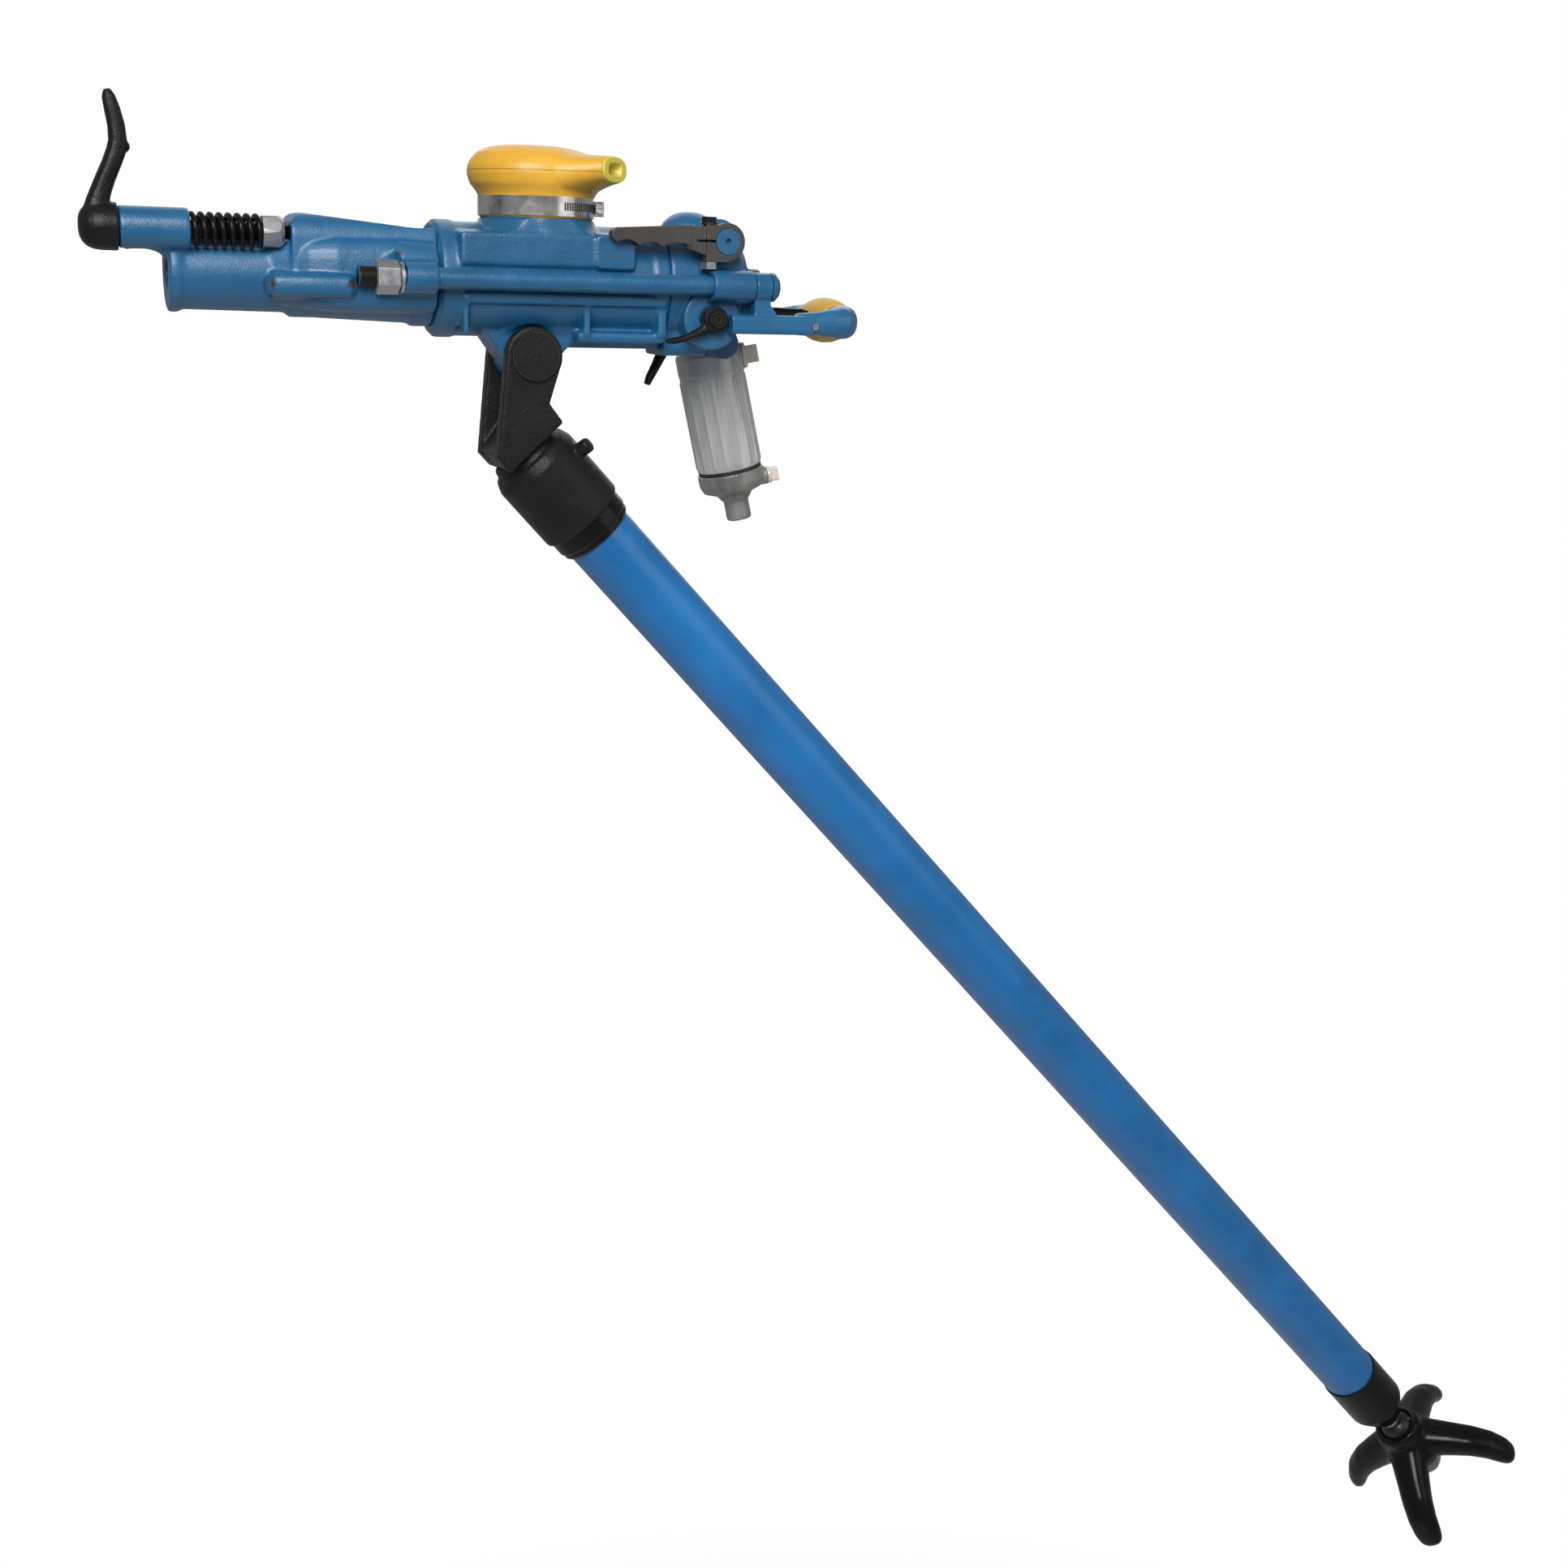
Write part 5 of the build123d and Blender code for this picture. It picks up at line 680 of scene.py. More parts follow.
def tapering_body(form, stations, segments=24, square=2.0):
    """A closed body through sections, from a circle at square 2 to nearly a rectangle at 5."""
    ring = bmesh.ops.create_circle(form, cap_ends=True, segments=segments, radius=1.0)["verts"]
    for corner in ring:
        reach = abs(corner.co.x) ** square + abs(corner.co.y) ** square
        corner.co /= reach ** (1.0 / square)
    bmesh.ops.transform(form, matrix=stations[0], verts=ring)
    faces = [face for face in form.faces if all(corner in ring for corner in face.verts)]
    edges = list({edge for face in faces for edge in face.edges})
    for previous, current in zip(stations, stations[1:]):
        drawn = bmesh.ops.extrude_edge_only(form, edges=edges)["geom"]
        ring = {part for part in drawn if isinstance(part, bmesh.types.BMVert)}
        edges = [part for part in drawn if isinstance(part, bmesh.types.BMEdge)]
        edges = [edge for edge in edges if all(corner in ring for corner in edge.verts)]
        bmesh.ops.transform(form, matrix=current @ previous.inverted(), verts=list(ring))
    bmesh.ops.holes_fill(form, edges=edges, sides=0)
    bmesh.ops.recalc_face_normals(form, faces=form.faces)


def path_body(form, rows, side, ahead=None, segments=24, square=2.0):
    """A closed body along rows of x, y, z, half width (towards the side) and half depth."""
    places = [Vector(row[:3]) for row in rows]
    stations = []
    for index, row in enumerate(rows):
        before = places[max(index - 1, 0)]
        after = places[min(index + 1, len(rows) - 1)]
        stations.append(station(row[:3], ahead or after - before, side, row[3], row[4]))
    tapering_body(form, stations, segments, square)


def block(form, low, high, edge=0.0):
    """A box between two corners, its edges rounded by a radius, in millimetres."""
    size = [(upper - lower) * MM for lower, upper in zip(low, high)]
    centre = [(upper + lower) / 2 * MM for lower, upper in zip(low, high)]
    corners = bmesh.ops.create_cube(form, size=1.0)["verts"]
    bmesh.ops.scale(form, vec=size, verts=corners)
    bmesh.ops.translate(form, vec=centre, verts=corners)
    if edge:
        sides = list({side for corner in corners for side in corner.link_edges})
        bmesh.ops.bevel(
            form,
            geom=sides,
            offset=edge * MM,
            segments=3,
            profile=0.5,
            affect="EDGES",
            material=-1,
        )


def rod(form, start, end, radius, segments=32, tip=None):
    """A closed bar between two points in millimetres, with an end radius of its own if it tapers."""
    line = (Vector(end) - Vector(start)) * MM
    turn = line.to_track_quat("Z", "Y").to_matrix().to_4x4()
    place = Matrix.Translation((Vector(start) + Vector(end)) / 2 * MM) @ turn
    bmesh.ops.create_cone(
        form,
        cap_ends=True,
        segments=segments,
        radius1=radius * MM,
        radius2=(radius if tip is None else tip) * MM,
        depth=line.length,
        matrix=place,
    )


def prism(form, outline, near, far):
    """A closed body with an outline of x and z, between two distances to the side, in millimetres."""
    corners = [form.verts.new((ahead * MM, near * MM, up * MM)) for ahead, up in outline]
    drawn = bmesh.ops.extrude_face_region(form, geom=[form.faces.new(corners)])["geom"]
    moved = [part for part in drawn if isinstance(part, bmesh.types.BMVert)]
    bmesh.ops.translate(form, verts=moved, vec=(0.0, (far - near) * MM, 0.0))
    bmesh.ops.recalc_face_normals(form, faces=form.faces)


def kept_side(form, ahead, forward):
    """The form cut square at a distance ahead in millimetres, its front or its rear part kept, and closed."""
    bmesh.ops.bisect_plane(
        form,
        geom=form.verts[:] + form.edges[:] + form.faces[:],
        plane_co=(ahead * MM, 0.0, 0.0),
        plane_no=(1.0, 0.0, 0.0),
        clear_inner=forward,
        clear_outer=not forward,
    )
    bmesh.ops.holes_fill(form, edges=form.edges, sides=0)


# Castings: the CAD forms with cast corners and the relief on their sides


class ROCKDRILL_OT_front_head(bpy.types.Operator):
    """Cast the front head's skin, with its side rails and rounded flanks."""

    bl_idname = "rockdrill.front_head"
    bl_label = "Front Head"

    def execute(self, context):
        form = cad_copy("front_head")
        for sign in (-1.0, 1.0):
            flank = ((84, 2, 24), (98, 9, 29), (118, 19, 31), (142, 25.5, 33), (200, 26, 33), (232, 26, 32))
            rows = [(along, sign * side, 1, 29, high) for along, side, high in flank]
            path_body(form, rows, side=(0, 1, 0), ahead=(1, 0, 0), segments=32, square=3.8)
            rail = ((79, 42, 7), (86, 50, 10), (120, 52, 10.5), (152, 52.5, 10.5), (160, 46, 9))
            rows = [(along, sign * side, -9, half, half) for along, side, half in rail]
            path_body(form, rows, side=(0, 1, 0), ahead=(1, 0, 0), square=2.6)
            shoulder = ((172, 36, 16, 22), (198, 44, 19, 27), (232, 44, 19, 25))
            rows = [(along, sign * side, 6, wide, high) for along, side, wide, high in shoulder]
            path_body(form, rows, side=(0, 1, 0), ahead=(1, 0, 0))
        piece = new_piece(form, "front_head_skin", "head_blue")
        soften(piece, 0.0014, 8)
        for sign in (-1.0, 1.0):
            form = bmesh.new()
            turns = [math.radians(step * 5 - 85) for step in range(35)]
            outline = [(171 + 29.5 * math.cos(turn), 4 + 29.5 * math.sin(turn)) for turn in turns]
            prism(form, [(160, -26)] + outline + [(160, 34)], sign * 54.5, sign * 90)
            cut_away(piece, form)
        settle(piece, "drill", "blue_paint", "front_head")
        return {"FINISHED"}


CYLINDER_RELIEF = (
    # low x and z, high x and z, near and far from the middle, edge
    ((256, -21.5), (452, -12.5), 36, 53.0, 2.5),
    ((256, -50), (262, -16), 34, 49.5, 2.0),
    ((371, -50), (378, -16), 34, 48.5, 2.0),
    ((444, -50), (453, -16), 34, 49.5, 2.0),
    ((366, -55), (453, -45), 26, 46.0, 3.0),
)


class ROCKDRILL_OT_cylinder(bpy.types.Operator):
    """Cast the cylinder's skin, with the ribs and sunk panels on its sides."""

    bl_idname = "rockdrill.cylinder"
    bl_label = "Cylinder"

    def execute(self, context):
        form = cad_copy("cylinder")
        for sign in (-1.0, 1.0):
            for low, high, near, far, edge in CYLINDER_RELIEF:
                wall = sorted((sign * near, sign * far))
                block(form, (low[0], wall[0], low[1]), (high[0], wall[1], high[1]), edge)
        path_body(
            form,
            ((338, 0, 34, 58, 53), (338, 0, 44, 55.5, 52.5), (338, 0, 52, 53.2, 52), (338, 0, 58, 51.5, 51.3)),
            side=(1, 0, 0),
            ahead=(0, 0, 1),
            segments=72,
        )
        piece = new_piece(form, "cylinder_skin", "casting_blue")
        soften(piece, 0.0016, 7)
        settle(piece, "drill", "blue_paint", "cylinder")
        return {"FINISHED"}


SOFT_CASTINGS = (
    ("rear_head", "rear_head_skin", "casting_blue", "drill", "blue_paint", 0.0013, 6),
    ("leg_head", "leg_head_skin", "cast_black", "leg", "black_paint", 0.0014, 7),
    ("leg_yoke", "leg_yoke_skin", "cast_black", "leg", "black_paint", 0.0014, 7),
    ("throttle_lever", "throttle_lever_skin", "forged_brown", "throttle", "forged_black", 0.0006, 4),
    ("leg_end_cap", "leg_end_cap_skin", "gloss_black", "leg", "black_paint", 0.0012, 8),
)


class ROCKDRILL_OT_castings(bpy.types.Operator):
    """Round the corners of the other castings and forgings."""

    bl_idname = "rockdrill.castings"
    bl_label = "Other Castings"

    def execute(self, context):
        for node, name, finish, body, slot, voxel, rounds in SOFT_CASTINGS:
            piece = new_piece(cad_copy(node), name, finish)
            soften(piece, voxel, rounds)
            settle(piece, body, slot, node)
        return {"FINISHED"}


# Silencer, retainer lever and spring


HOOD = (
    (338, 0, 56.3, 53.4, 53.4),
    (338, 0, 75, 53.4, 53.4),
    (338, 0, 80, 56.0, 55.0),
    (338, 0, 87, 62.0, 59.0),
    (338, 0, 96, 64.9, 60.6),
    (338, 0, 103, 64.3, 59.8),
    (338, 0, 109, 61.0, 56.5),
    (336, 0, 114.8, 54.0, 49.5),
    (334, 0, 119.2, 43.0, 39.0),
    (333, 0, 121.7, 30.0, 26.0),
    (333, 0, 122.1, 12.0, 11.0),
)
HOLLOW = (
    (338, 0, 50, 50.1, 50.1),
    (338, 0, 78, 50.1, 50.1),
    (338, 0, 86, 57.0, 54.5),
    (338, 0, 97, 60.5, 56.0),
    (338, 0, 106, 58.0, 53.0),
    (336, 0, 112, 47.0, 43.0),
    (334, 0, 116, 28.0, 25.0),
)
# Along the nozzle: reach from the hood's middle, height, half width and half height
NOZZLE = (
    (8, 95.0, 48, 23.5),
    (34, 95.5, 46, 21.5),
    (50, 97.0, 39, 18.5),
    (62, 99.0, 33, 15.3),
    (74, 100.7, 27, 13.2),
    (80, 101.2, 24.6, 12.5),
    (83.4, 101.5, 22.9, 12.0),
)
NOZZLE_HOLLOW = ((10, 95, 42, 18), (50, 97, 33, 14), (66, 99.5, 25, 11), (90, 101.5, 19.5, 9.6))
NOZZLE_LIP = ((68, 101.3, 23, 10.8), (80, 101.4, 22.4, 11.6), (83.9, 101.5, 22.3, 11.5))
NOZZLE_SLOT = ((60, 101.5, 6, 2.4), (74, 101.5, 8, 3.0), (90, 101.8, 15.5, 7.4))


def along_nozzle(form, rows, square=2.4):
    """A closed body along the nozzle, which points forty-five degrees off the drill's axis."""
    half = math.sqrt(0.5)
    placed = [(338 + reach * half, -reach * half, height, wide, high) for reach, height, wide, high in rows]
    path_body(form, placed, side=(half, half, 0), ahead=(half, -half, 0), segments=40, square=square)


class ROCKDRILL_OT_silencer(bpy.types.Operator):
    """Mould the silencer's hollow hood with its flat nozzle, and the pale lip in the nozzle."""

    bl_idname = "rockdrill.silencer"
    bl_label = "Silencer"

    def execute(self, context):
        form = bmesh.new()
        path_body(form, HOOD, side=(1, 0, 0), ahead=(0, 0, 1), segments=64)
        along_nozzle(form, NOZZLE)
        hood = new_piece(form, "silencer_hood", "amber")
        soften(hood, 0.0013, 14)
        form = bmesh.new()
        path_body(form, HOLLOW, side=(1, 0, 0), ahead=(0, 0, 1), segments=64)
        cut_away(hood, form)
        form = bmesh.new()
        along_nozzle(form, NOZZLE_HOLLOW)
        cut_away(hood, form)
        settle(hood, "drill", "yellow_rubber", "exhaust_silencer")
        form = bmesh.new()
        along_nozzle(form, NOZZLE_LIP)
        lip = new_piece(form, "silencer_lip", "nozzle")
        form = bmesh.new()
        along_nozzle(form, NOZZLE_SLOT, 3.5)
        cut_away(lip, form)
        soften(lip, 0.0005, 3)
        settle(lip, "drill", "yellow_rubber")
        # Seventeen thin black bars on the clamp band are painted shade standing in for its slots, which are not cut as
        # holes.
        form = bmesh.new()
        for step in range(17):
            corners = bmesh.ops.create_cube(form, size=1.0)["verts"]
            bmesh.ops.scale(form, vec=(0.0008, 0.0013, 0.0075), verts=corners)
            bmesh.ops.translate(form, vec=(0.0547, 0.0, 0.0672), verts=corners)
            turn = Matrix.Rotation(math.radians(-76 + 2.9 * step), 4, "Z")
            bmesh.ops.transform(form, matrix=Matrix.Translation((0.3380, 0, 0)) @ turn, verts=corners)
        slots = new_piece(form, "silencer_clamp_slot_shade", "black_rubber")
        slots.data.shade_flat()
        settle(slots, "drill", "steel")
        return {"FINISHED"}


RETAINER_ARM = (
    (-60, -31, 33, 12.5, 13.0),
    (-59.5, -31, 45, 11.5, 12.0),
    (-57.0, -30, 56, 9.6, 11.0),
    (-53.5, -29.5, 66, 8.7, 10.8),
    (-49.0, -29.5, 77, 8.2, 10.6),
    (-44.0, -29.5, 88, 8.0, 10.4),
    (-40.0, -30, 98, 8.1, 9.4),
    (-38.0, -31, 107, 7.8, 8.0),
    (-38.8, -31, 120, 7.3, 7.4),
    (-41.5, -31, 133, 6.7, 7.0),
    (-44.0, -31, 143, 5.6, 6.2),
    (-45.2, -31, 148.8, 2.9, 3.4),
)
RETAINER_DOME = (
    (-74.0, -31, 36, 5.5, 5.5),
    (-73.2, -31, 36, 9.5, 9.5),
    (-70.8, -31, 36, 14.0, 14.0),
    (-66.8, -31, 36, 17.6, 17.6),
    (-61.5, -31, 36, 19.6, 19.6),
    (-55.0, -31, 36, 20.3, 20.3),
    (-41.5, -31, 36, 20.3, 20.3),
)


class ROCKDRILL_OT_retainer(bpy.types.Operator):
    """Forge the retainer's lever over its CAD form, and coil its spring."""

    bl_idname = "rockdrill.retainer"
    bl_label = "Retainer"

    def execute(self, context):
        form = bmesh.new()
        path_body(form, RETAINER_ARM, side=(1, 0, 0), square=2.9)
        path_body(form, RETAINER_DOME, side=(0, 1, 0), segments=48)
        path_body(form, ((-36, -31, 102, 6, 6), (-31, -31, 103, 5, 5), (-28.6, -31, 103.5, 2.5, 2.5)), side=(0, 1, 0))
        lever = new_piece(form, "steel_retainer_skin", "lever_black")
        soften(lever, 0.0009, 7)
        form = bmesh.new()
        rod(form, (-80, -13, 79.96), (-10, -13, 79.96), 14.5, 64)
        cut_away(lever, form)
        settle(lever, "retainer", "forged_black", "steel_retainer")
        form = cad_copy("retainer_bolt")
        kept_side(form, -62, True)
        bolt = new_piece(form, "retainer_bolt_skin", "gloss_black")
        settle(bolt, "retainer", "forged_black", "retainer_bolt")
        form = bmesh.new()
        wire = bmesh.ops.create_circle(form, cap_ends=False, segments=14, radius=2.5 * MM)["verts"]
        place = Matrix.Translation((20.2 * MM, -31 * MM, (36 + 12.9) * MM)) @ Matrix.Rotation(math.pi / 2, 4, "X")
        bmesh.ops.transform(form, matrix=place, verts=wire)
        steps = 300
        bmesh.ops.spin(
            form,
            geom=form.verts[:] + form.edges[:],
            cent=(0.0, -31 * MM, 36 * MM),
            axis=(1.0, 0.0, 0.0),
            dvec=(58.6 * MM / steps, 0.0, 0.0),
            angle=math.radians(7.5 * 360),
            steps=steps,
        )
        bmesh.ops.holes_fill(form, edges=form.edges, sides=0)
        bmesh.ops.recalc_face_normals(form, faces=form.faces)
        spring = new_piece(form, "retainer_spring_coil", "gloss_black")
        settle(spring, "retainer", "forged_black", "retainer_spring")
        return {"FINISHED"}


# Foot


BALL = Vector((1514.69, 0.0, -1450.12))
DOWN_THE_LEG = Vector((0.67776, 0.0, -0.73529))
UNDER_THE_LEG = Vector((-0.73529, 0.0, -0.67776))
# Along a claw: distance down the leg from the ball, distance out, half width and half thickness
CLAW = (
    (20, 8, 26, 23),
    (31, 28, 23.5, 22),
    (42, 52, 21, 19.5),
    (54, 75, 19.5, 17),
    (69, 93, 18.5, 15),
    (84, 103, 17.5, 13),
    (95, 108, 15, 10),
    (101, 110, 10, 6),
)
FOOT_HUB = ((-9, 29), (-3, 31), (8, 31), (20, 35), (34, 40), (48, 37), (64, 29), (80, 20), (90, 13))


class ROCKDRILL_OT_foot(bpy.types.Operator):
    """Cast the foot: a hub round the ball, four swept claws and the middle spike."""

    bl_idname = "rockdrill.foot"
    bl_label = "Foot"

    def execute(self, context):
        form = bmesh.new()
        rows = [(*(BALL + DOWN_THE_LEG * down), radius, radius) for down, radius in FOOT_HUB]
        path_body(form, rows, side=(0, 1, 0), segments=48)
        for below in (-1.0, 1.0):
            for beside in (-1.0, 1.0):
                out = (UNDER_THE_LEG * below + Vector((0.0, beside, 0.0))).normalized()
                rows = [
                    (*(BALL + DOWN_THE_LEG * down + out * reach), width, thick)
                    for down, reach, width, thick in CLAW
                ]
                path_body(form, rows, side=DOWN_THE_LEG.cross(out), square=2.4)
        foot = new_piece(form, "leg_foot_skin", "gloss_black")
        soften(foot, 0.0022, 12)
        form = bmesh.new()
        rod(form, BALL + DOWN_THE_LEG * -30, BALL + DOWN_THE_LEG * 6, 25, 48, 22)
        cut_away(foot, form)
        settle(foot, "foot", "black_paint", "leg_foot")
        return {"FINISHED"}


# Handle, small levers and line oiler


HANDLE_BEND = (
    (580, 62.0, -33.5, 10.0, 8.0),
    (600, 62.0, -33.0, 11.0, 9.0),
    (616, 61.0, -32.5, 13.2, 11.5),
    (629, 57.0, -32.0, 15.2, 13.5),
    (635, 49.0, -31.5, 16.0, 14.5),
    (636, 38.0, -31.0, 16.0, 15.0),
    (636, 28.0, -31.0, 15.0, 15.0),
)
GRIP = ((-32, 15.5), (-30, 17.6), (-24, 19.4), (-12, 21.4), (0, 22.0), (12, 21.4), (24, 19.4), (30, 17.6), (32, 15.5))


class ROCKDRILL_OT_handle(bpy.types.Operator):
    """Forge the handle's bends on its CAD arms, and mould the swelling grip."""

    bl_idname = "rockdrill.handle"
    bl_label = "Handle"

    def execute(self, context):
        form = cad_copy("handle_frame")
        kept_side(form, 596, False)
        for sign in (-1, 1):
            rows = [(along, sign * side, up, high, wide) for along, side, up, high, wide in HANDLE_BEND]
            path_body(form, rows, side=(0, 0, 1), square=2.3)
        frame = new_piece(form, "handle_frame_skin", "bar_blue")
        soften(frame, 0.0009, 6)
        settle(frame, "drill", "blue_paint", "handle_frame")
        form = bmesh.new()
        path_body(form, [(636, side, -30.5, half, half) for side, half in GRIP], side=(1, 0, 0), segments=48)
        grip = new_piece(form, "handle_grip_skin", "grip")
        soften(grip, 0.0012, 6)
        settle(grip, "drill", "yellow_rubber", "handle_grip")
        form = cad_copy("retract_trigger")
        for corner in form.verts:
            corner.co.z = min(corner.co.z, -0.024 + (corner.co.z + 0.024) * 0.35)
        trigger = new_piece(form, "retract_trigger_skin", "lever_black")
        soften(trigger, 0.0008, 4)
        settle(trigger, "trigger", "forged_black", "retract_trigger")
        return {"FINISHED"}


REGULATOR = (
    # name, node, far side's sign, arm as distance ahead, distance up and half width
    ("regulator_lever_skin", "regulator_lever", (-68.3, -56.6), ((-6, -6, 7.5), (-12, -10.5, 5.2), (-21, -14, 3.6), (-32, -18.5, 3.2), (-42, -20.5, 3.2), (-48, -20.8, 2.2))),
    ("regulator_lever_far_skin", "regulator_lever_far", (51.6, 63.3), ((-2, -8, 8), (-10, -30, 6.3), (-19, -48, 4.8), (-26, -61, 4.2), (-28.5, -67.2, 3))),
)


class ROCKDRILL_OT_small_levers(bpy.types.Operator):
    """Forge the two thin levers of the leg's pressure control."""

    bl_idname = "rockdrill.small_levers"
    bl_label = "Small Levers"

    def execute(self, context):
        for name, node, reach, arm in REGULATOR:
            middle = sum(reach) / 2
            form = bmesh.new()
            rod(form, (496.5, reach[0], -31.3), (496.5, reach[1], -31.3), 11.8, 40)
            rows = [(496.5 + ahead, middle, -31.3 + up, half, 4.8) for ahead, up, half in arm]
            path_body(form, rows, side=(0.3, 0, -1))
            lever = new_piece(form, name, "lever_black")
            soften(lever, 0.0006, 6)
            settle(lever, "regulator", "forged_black", node)
        return {"FINISHED"}


class ROCKDRILL_OT_oiler(bpy.types.Operator):
    """Soften the oiler's flutes, its cap and its plug."""

    bl_idname = "rockdrill.oiler"
    bl_label = "Line Oiler"

    def execute(self, context):
        parts = (
            ("lubricator_body", "oiler", "oiler", "grey_alloy", 0.0010, 8),
            ("lubricator_end_cap", "oiler_cap", "oiler", "grey_alloy", 0.0010, 9),
            ("filler_plug", "beige", "filler", "beige_plastic", 0.0006, 6),
        )
        for node, finish, body, slot, voxel, rounds in parts:
            form = cad_copy(node)
            if node == "lubricator_body":
                rows = ((537.4, 75, -63, 31, 31), (538.4, 75, -67.4, 33.5, 33.5), (542.5, 75, -85, 33.8, 33.8))
                path_body(form, rows, side=(0, 1, 0), segments=48)
            piece = new_piece(form, node + "_skin", finish)
            soften(piece, voxel, rounds)
            settle(piece, body, slot, node)
        return {"FINISHED"}


class ROCKDRILL_OT_rod_nuts(bpy.types.Operator):
    """Turn the side rods' front nuts corner outwards, with the rods' blackened thread ends."""

    bl_idname = "rockdrill.rod_nuts"
    bl_label = "Side Rod Nuts"

    def execute(self, context):
        nuts = bmesh.new()
        ends = bmesh.new()
        for sign in (-1, 1):
            rows = ((173, 13.6), (174.6, 15.5), (193.4, 15.5), (195, 13.6))
            placed = [(ahead, sign * 63, 0, half, half) for ahead, half in rows]
            path_body(nuts, placed, side=(0, 1, 0), ahead=(1, 0, 0), segments=6)
            rows = [(157.6, 6.9), (159.2, 8.9)]
            for step in range(7):
                rows += [(159.8 + step * 1.9, 9.3), (160.7 + step * 1.9, 8.5)]
            placed = [(ahead, sign * 63, 0, half, half) for ahead, half in rows + [(173.5, 9.2)]]
            path_body(ends, placed, side=(0, 1, 0), ahead=(1, 0, 0), segments=40)
        bmesh.ops.bevel(nuts, geom=nuts.edges[:], offset=0.0004, segments=2, profile=0.5, affect="EDGES")
        piece = new_piece(nuts, "side_rod_nuts_skin", "zinc")
        piece.data.shade_flat()
        settle(piece, "drill", "zinc_steel", "side_rod_nuts")
        piece = new_piece(ends, "side_rod_ends", "lever_black")
        settle(piece, "drill", "blue_paint")
        return {"FINISHED"}


class ROCKDRILL_OT_finishes(bpy.types.Operator):
    """Give every CAD node its finish."""

    bl_idname = "rockdrill.finishes"
    bl_label = "Finishes"

    def execute(self, context):
        for finish, names in FINISHES.items():
            for name in names:
                slots = NODES[name].data.materials
                if not len(slots):
                    slots.append(finish_of(finish))
                for index in range(len(slots)):
                    slots[index] = finish_of(finish)
        return {"FINISHED"}


# Studio: floor, lights and camera


# The floor lies under the foot when the leg hangs at its full length
FLOOR = -3.45


class RockDrillStage(bpy.types.PropertyGroup):
    """Sizes of the studio."""

    focal_length: bpy.props.FloatProperty(
        name="Focal Length",
        description="Lens of the camera on a 36 mm sensor, in millimetres",
        min=20.0,
        max=200.0,
        default=46.79,
    )
    key_light: bpy.props.FloatProperty(
        name="Key Light",
        description="Power of the large soft light on the viewer's left",
        subtype="POWER",
        min=0.0,
        default=112.0,
    )
    fill_light: bpy.props.FloatProperty(
        name="Fill Light",
        description="Power of the soft light on the viewer's right",
        subtype="POWER",
        min=0.0,
        default=9.0,
    )
    back_light: bpy.props.FloatProperty(
        name="Back Light",
        description="Power of the soft light behind the drill",
        subtype="POWER",
        min=0.0,
        default=32.0,
    )
    world_light: bpy.props.FloatProperty(
        name="World Light",
        description="Strength of the even light from all round",
        min=0.0,
        max=2.0,
        default=0.27,
    )


def area_light(name, place, target, size, power):
    """A square soft light aimed at a point."""
    lamp = bpy.data.lights.new(name, "AREA")
    lamp.shape = "SQUARE"
    lamp.size = size
    lamp.energy = power
    holder = bpy.data.objects.new(name, lamp)
    bpy.context.scene.collection.objects.link(holder)
    holder.location = place
    holder.rotation_euler = (Vector(target) - Vector(place)).to_track_quat("-Z", "Y").to_euler()
    return holder


def seen_directly(tree):
    """1 where the camera looks at this, and 0 where it lights the drill."""
    path = tree.nodes.new("ShaderNodeLightPath")
    return arithmetic(tree, "ADD", path.outputs["Is Camera Ray"], path.outputs["Is Transmission Ray"], True)


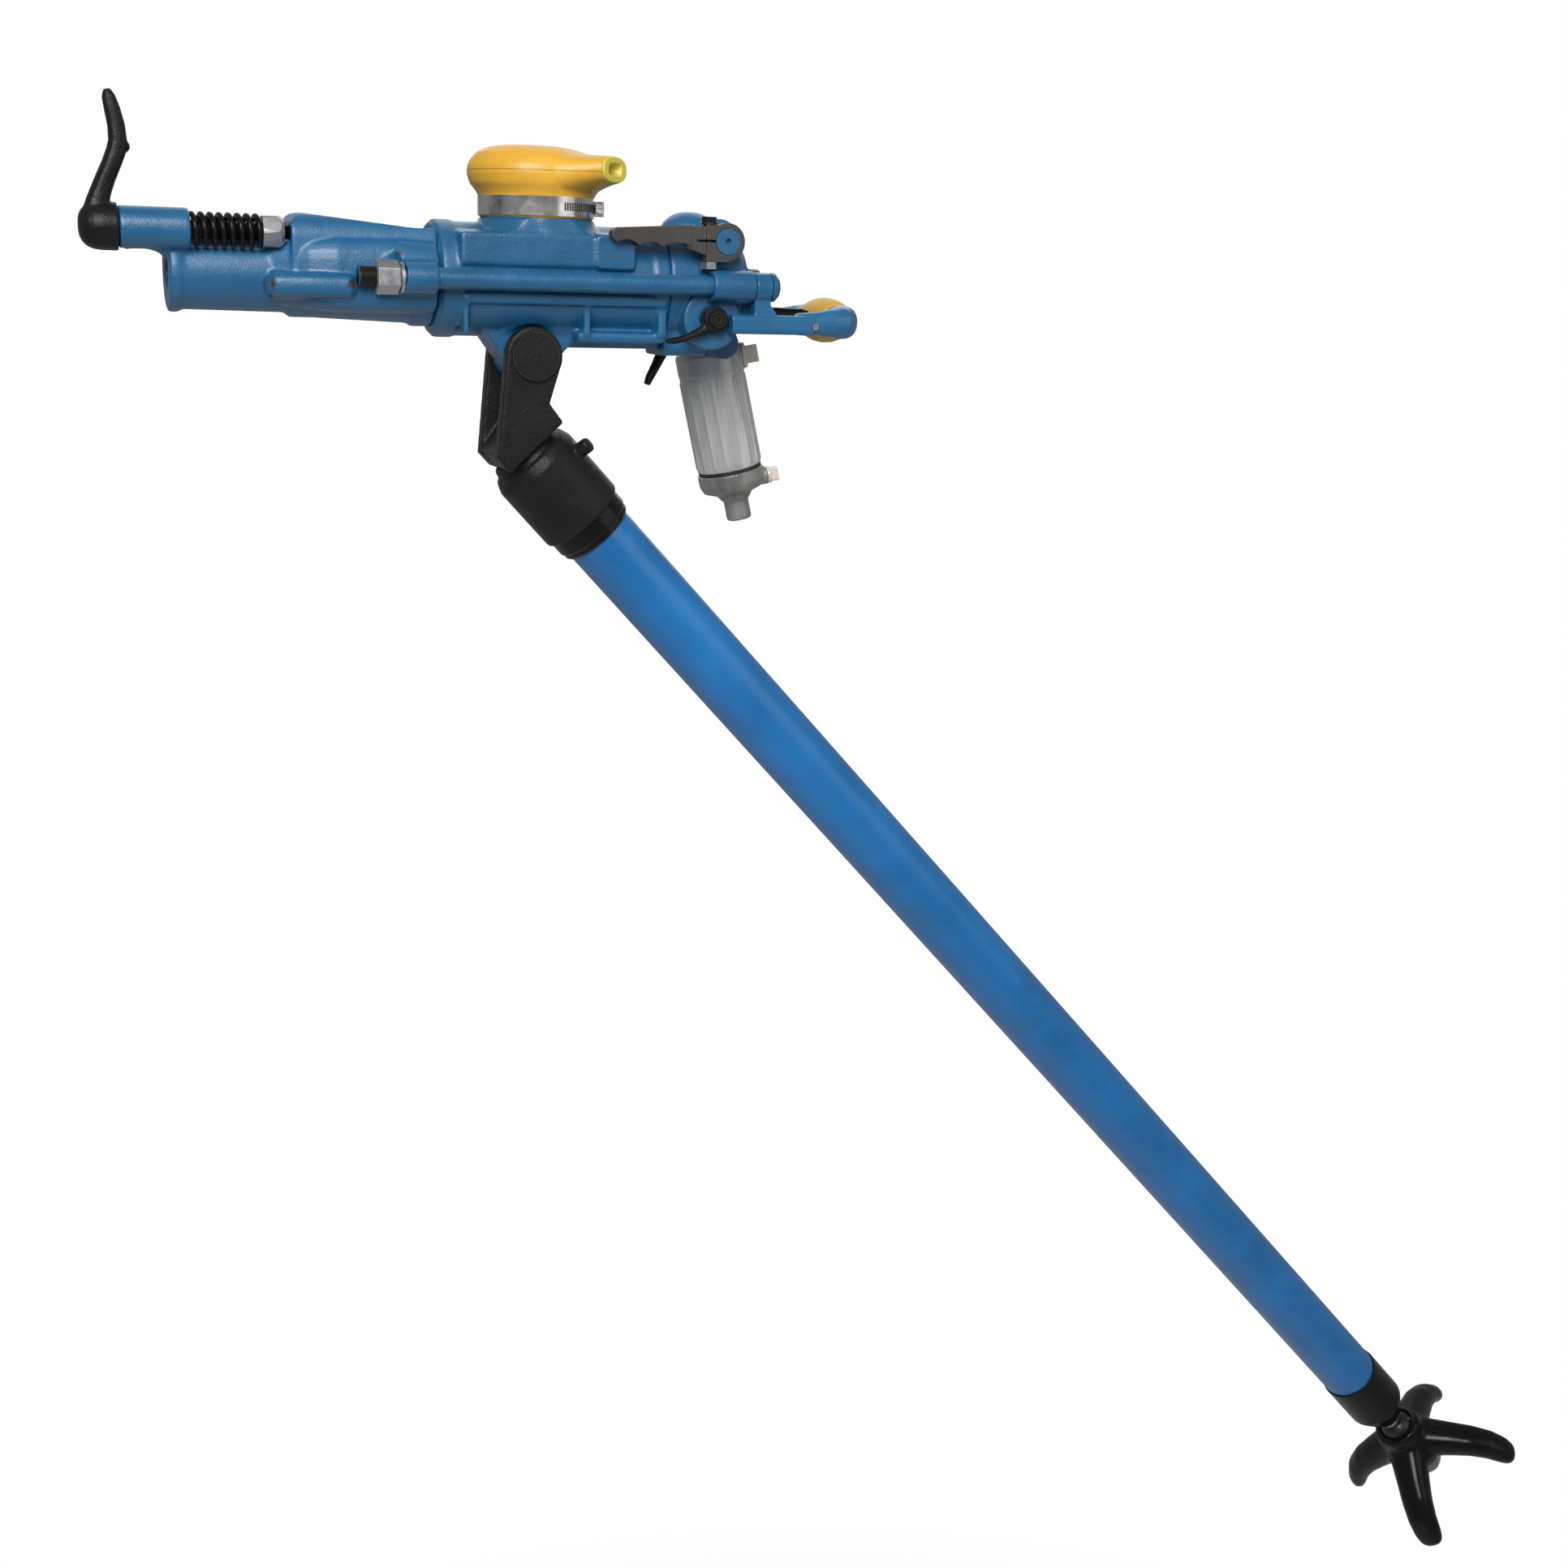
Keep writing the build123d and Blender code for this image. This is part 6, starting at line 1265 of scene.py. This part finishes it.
class ROCKDRILL_OT_stage(bpy.types.Operator):
    """Build the pale floor, the soft lights and the camera."""

    bl_idname = "rockdrill.stage"
    bl_label = "Studio"

    def execute(self, context):
        values = context.scene.rock_drill_stage
        scene = context.scene
        form = bmesh.new()
        bmesh.ops.create_grid(form, x_segments=1, y_segments=1, size=14.0)
        bmesh.ops.translate(form, verts=form.verts, vec=(0.7, 0.0, FLOOR))
        mesh = bpy.data.meshes.new("studio_floor")
        form.to_mesh(mesh)
        form.free()
        floor = bpy.data.objects.new("studio_floor", mesh)
        scene.collection.objects.link(floor)
        material, tree, shader = new_surface("studio_floor")
        shader.inputs["Base Color"].default_value = (0.86, 0.86, 0.86, 1.0)
        shader.inputs["Roughness"].default_value = 0.9
        glow = add_node(tree, "ShaderNodeEmission", Strength=1.0)
        reach = tree.nodes.new("ShaderNodeVectorMath")
        reach.operation = "DISTANCE"
        join(tree, tree.nodes.new("ShaderNodeTexCoord").outputs["Object"], reach.inputs[0])
        reach.inputs[1].default_value = (0.9, 0.0, FLOOR)
        fading = stretch(tree, reach.outputs["Value"], 0.8, 3.0, 0.55, 1.0)
        either = tree.nodes.new("ShaderNodeMixShader")
        join(tree, arithmetic(tree, "MULTIPLY", fading, seen_directly(tree)), either.inputs[0])
        join(tree, shader.outputs[0], either.inputs[1])
        join(tree, glow.outputs[0], either.inputs[2])
        join(tree, either.outputs[0], tree.nodes["Material Output"].inputs["Surface"])
        mesh.materials.append(material)

        world = bpy.data.worlds.new("studio_world")
        world.use_nodes = True
        tree = world.node_tree
        tree.nodes.clear()
        even = tree.nodes.new("ShaderNodeBackground")
        even.inputs["Color"].default_value = (0.93, 0.96, 1.0, 1.0)
        even.inputs["Strength"].default_value = values.world_light
        white = tree.nodes.new("ShaderNodeBackground")
        white.inputs["Color"].default_value = (1.0, 1.0, 1.0, 1.0)
        either = tree.nodes.new("ShaderNodeMixShader")
        output = tree.nodes.new("ShaderNodeOutputWorld")
        join(tree, seen_directly(tree), either.inputs[0])
        join(tree, even.outputs[0], either.inputs[1])
        join(tree, white.outputs[0], either.inputs[2])
        join(tree, either.outputs[0], output.inputs["Surface"])
        scene.world = world

        middle = (0.45, 0.0, -0.35)
        area_light("key_light", (-0.7, -2.6, 1.5), middle, 1.6, values.key_light)
        area_light("fill_light", (2.4, -1.9, 0.4), middle, 1.8, values.fill_light)
        area_light("back_light", (1.3, 2.6, 1.4), middle, 3.0, values.back_light)

        lens = bpy.data.cameras.new("camera")
        lens.lens = values.focal_length
        lens.sensor_width = 36.0
        lens.clip_end = 60.0
        camera = bpy.data.objects.new("camera", lens)
        scene.collection.objects.link(camera)
        yaw, pitch, roll = (math.radians(angle) for angle in (22.23, 13.73, 1.616))
        ahead = Vector((math.sin(yaw) * math.cos(pitch), math.cos(yaw) * math.cos(pitch), -math.sin(pitch)))
        right = Vector((math.cos(yaw), -math.sin(yaw), 0.0))
        up = right.cross(ahead)
        tilted_right = math.cos(roll) * right + math.sin(roll) * up
        tilted_up = math.cos(roll) * up - math.sin(roll) * right
        turn = Matrix((tilted_right, tilted_up, -ahead)).transposed()
        camera.matrix_world = Matrix.Translation((-0.1848, -1.9358, 0.0019)) @ turn.to_4x4()
        scene.camera = camera
        scene.view_settings.view_transform = "Standard"
        return {"FINISHED"}


# Panel, registration and the run


PIECE_OPERATORS = (
    "finishes",
    "front_head",
    "cylinder",
    "castings",
    "silencer",
    "retainer",
    "foot",
    "handle",
    "small_levers",
    "oiler",
    "rod_nuts",
)
CLASSES = (
    RockDrillColours,
    RockDrillStage,
    ROCKDRILL_OT_finishes,
    ROCKDRILL_OT_front_head,
    ROCKDRILL_OT_cylinder,
    ROCKDRILL_OT_castings,
    ROCKDRILL_OT_silencer,
    ROCKDRILL_OT_retainer,
    ROCKDRILL_OT_foot,
    ROCKDRILL_OT_handle,
    ROCKDRILL_OT_small_levers,
    ROCKDRILL_OT_oiler,
    ROCKDRILL_OT_rod_nuts,
    ROCKDRILL_OT_stage,
)


class ROCKDRILL_PT_panel(bpy.types.Panel):
    """The drill's pieces, colours and studio in the sidebar."""

    bl_idname = "ROCKDRILL_PT_panel"
    bl_label = "Rock Drill"
    bl_space_type = "VIEW_3D"
    bl_region_type = "UI"
    bl_category = "Rock Drill"

    def draw(self, context):
        layout = self.layout
        for group in (context.scene.rock_drill, context.scene.rock_drill_stage):
            box = layout.box()
            for name in group.__annotations__:
                box.prop(group, name)
        for name in (*PIECE_OPERATORS, "stage"):
            layout.operator("rockdrill." + name)


def register():
    """Adds the drill's properties, operators and panel."""
    for each in (*CLASSES, ROCKDRILL_PT_panel):
        bpy.utils.register_class(each)
    bpy.types.Scene.rock_drill = bpy.props.PointerProperty(type=RockDrillColours)
    bpy.types.Scene.rock_drill_stage = bpy.props.PointerProperty(type=RockDrillStage)


def unregister():
    """Takes the drill's properties, operators and panel away."""
    del bpy.types.Scene.rock_drill_stage
    del bpy.types.Scene.rock_drill
    for each in reversed((*CLASSES, ROCKDRILL_PT_panel)):
        bpy.utils.unregister_class(each)


def main():
    """Builds every piece and the studio."""
    register()
    for name in (*PIECE_OPERATORS, "stage"):
        getattr(bpy.ops.rockdrill, name)()


if __name__ == "__main__":
    main()
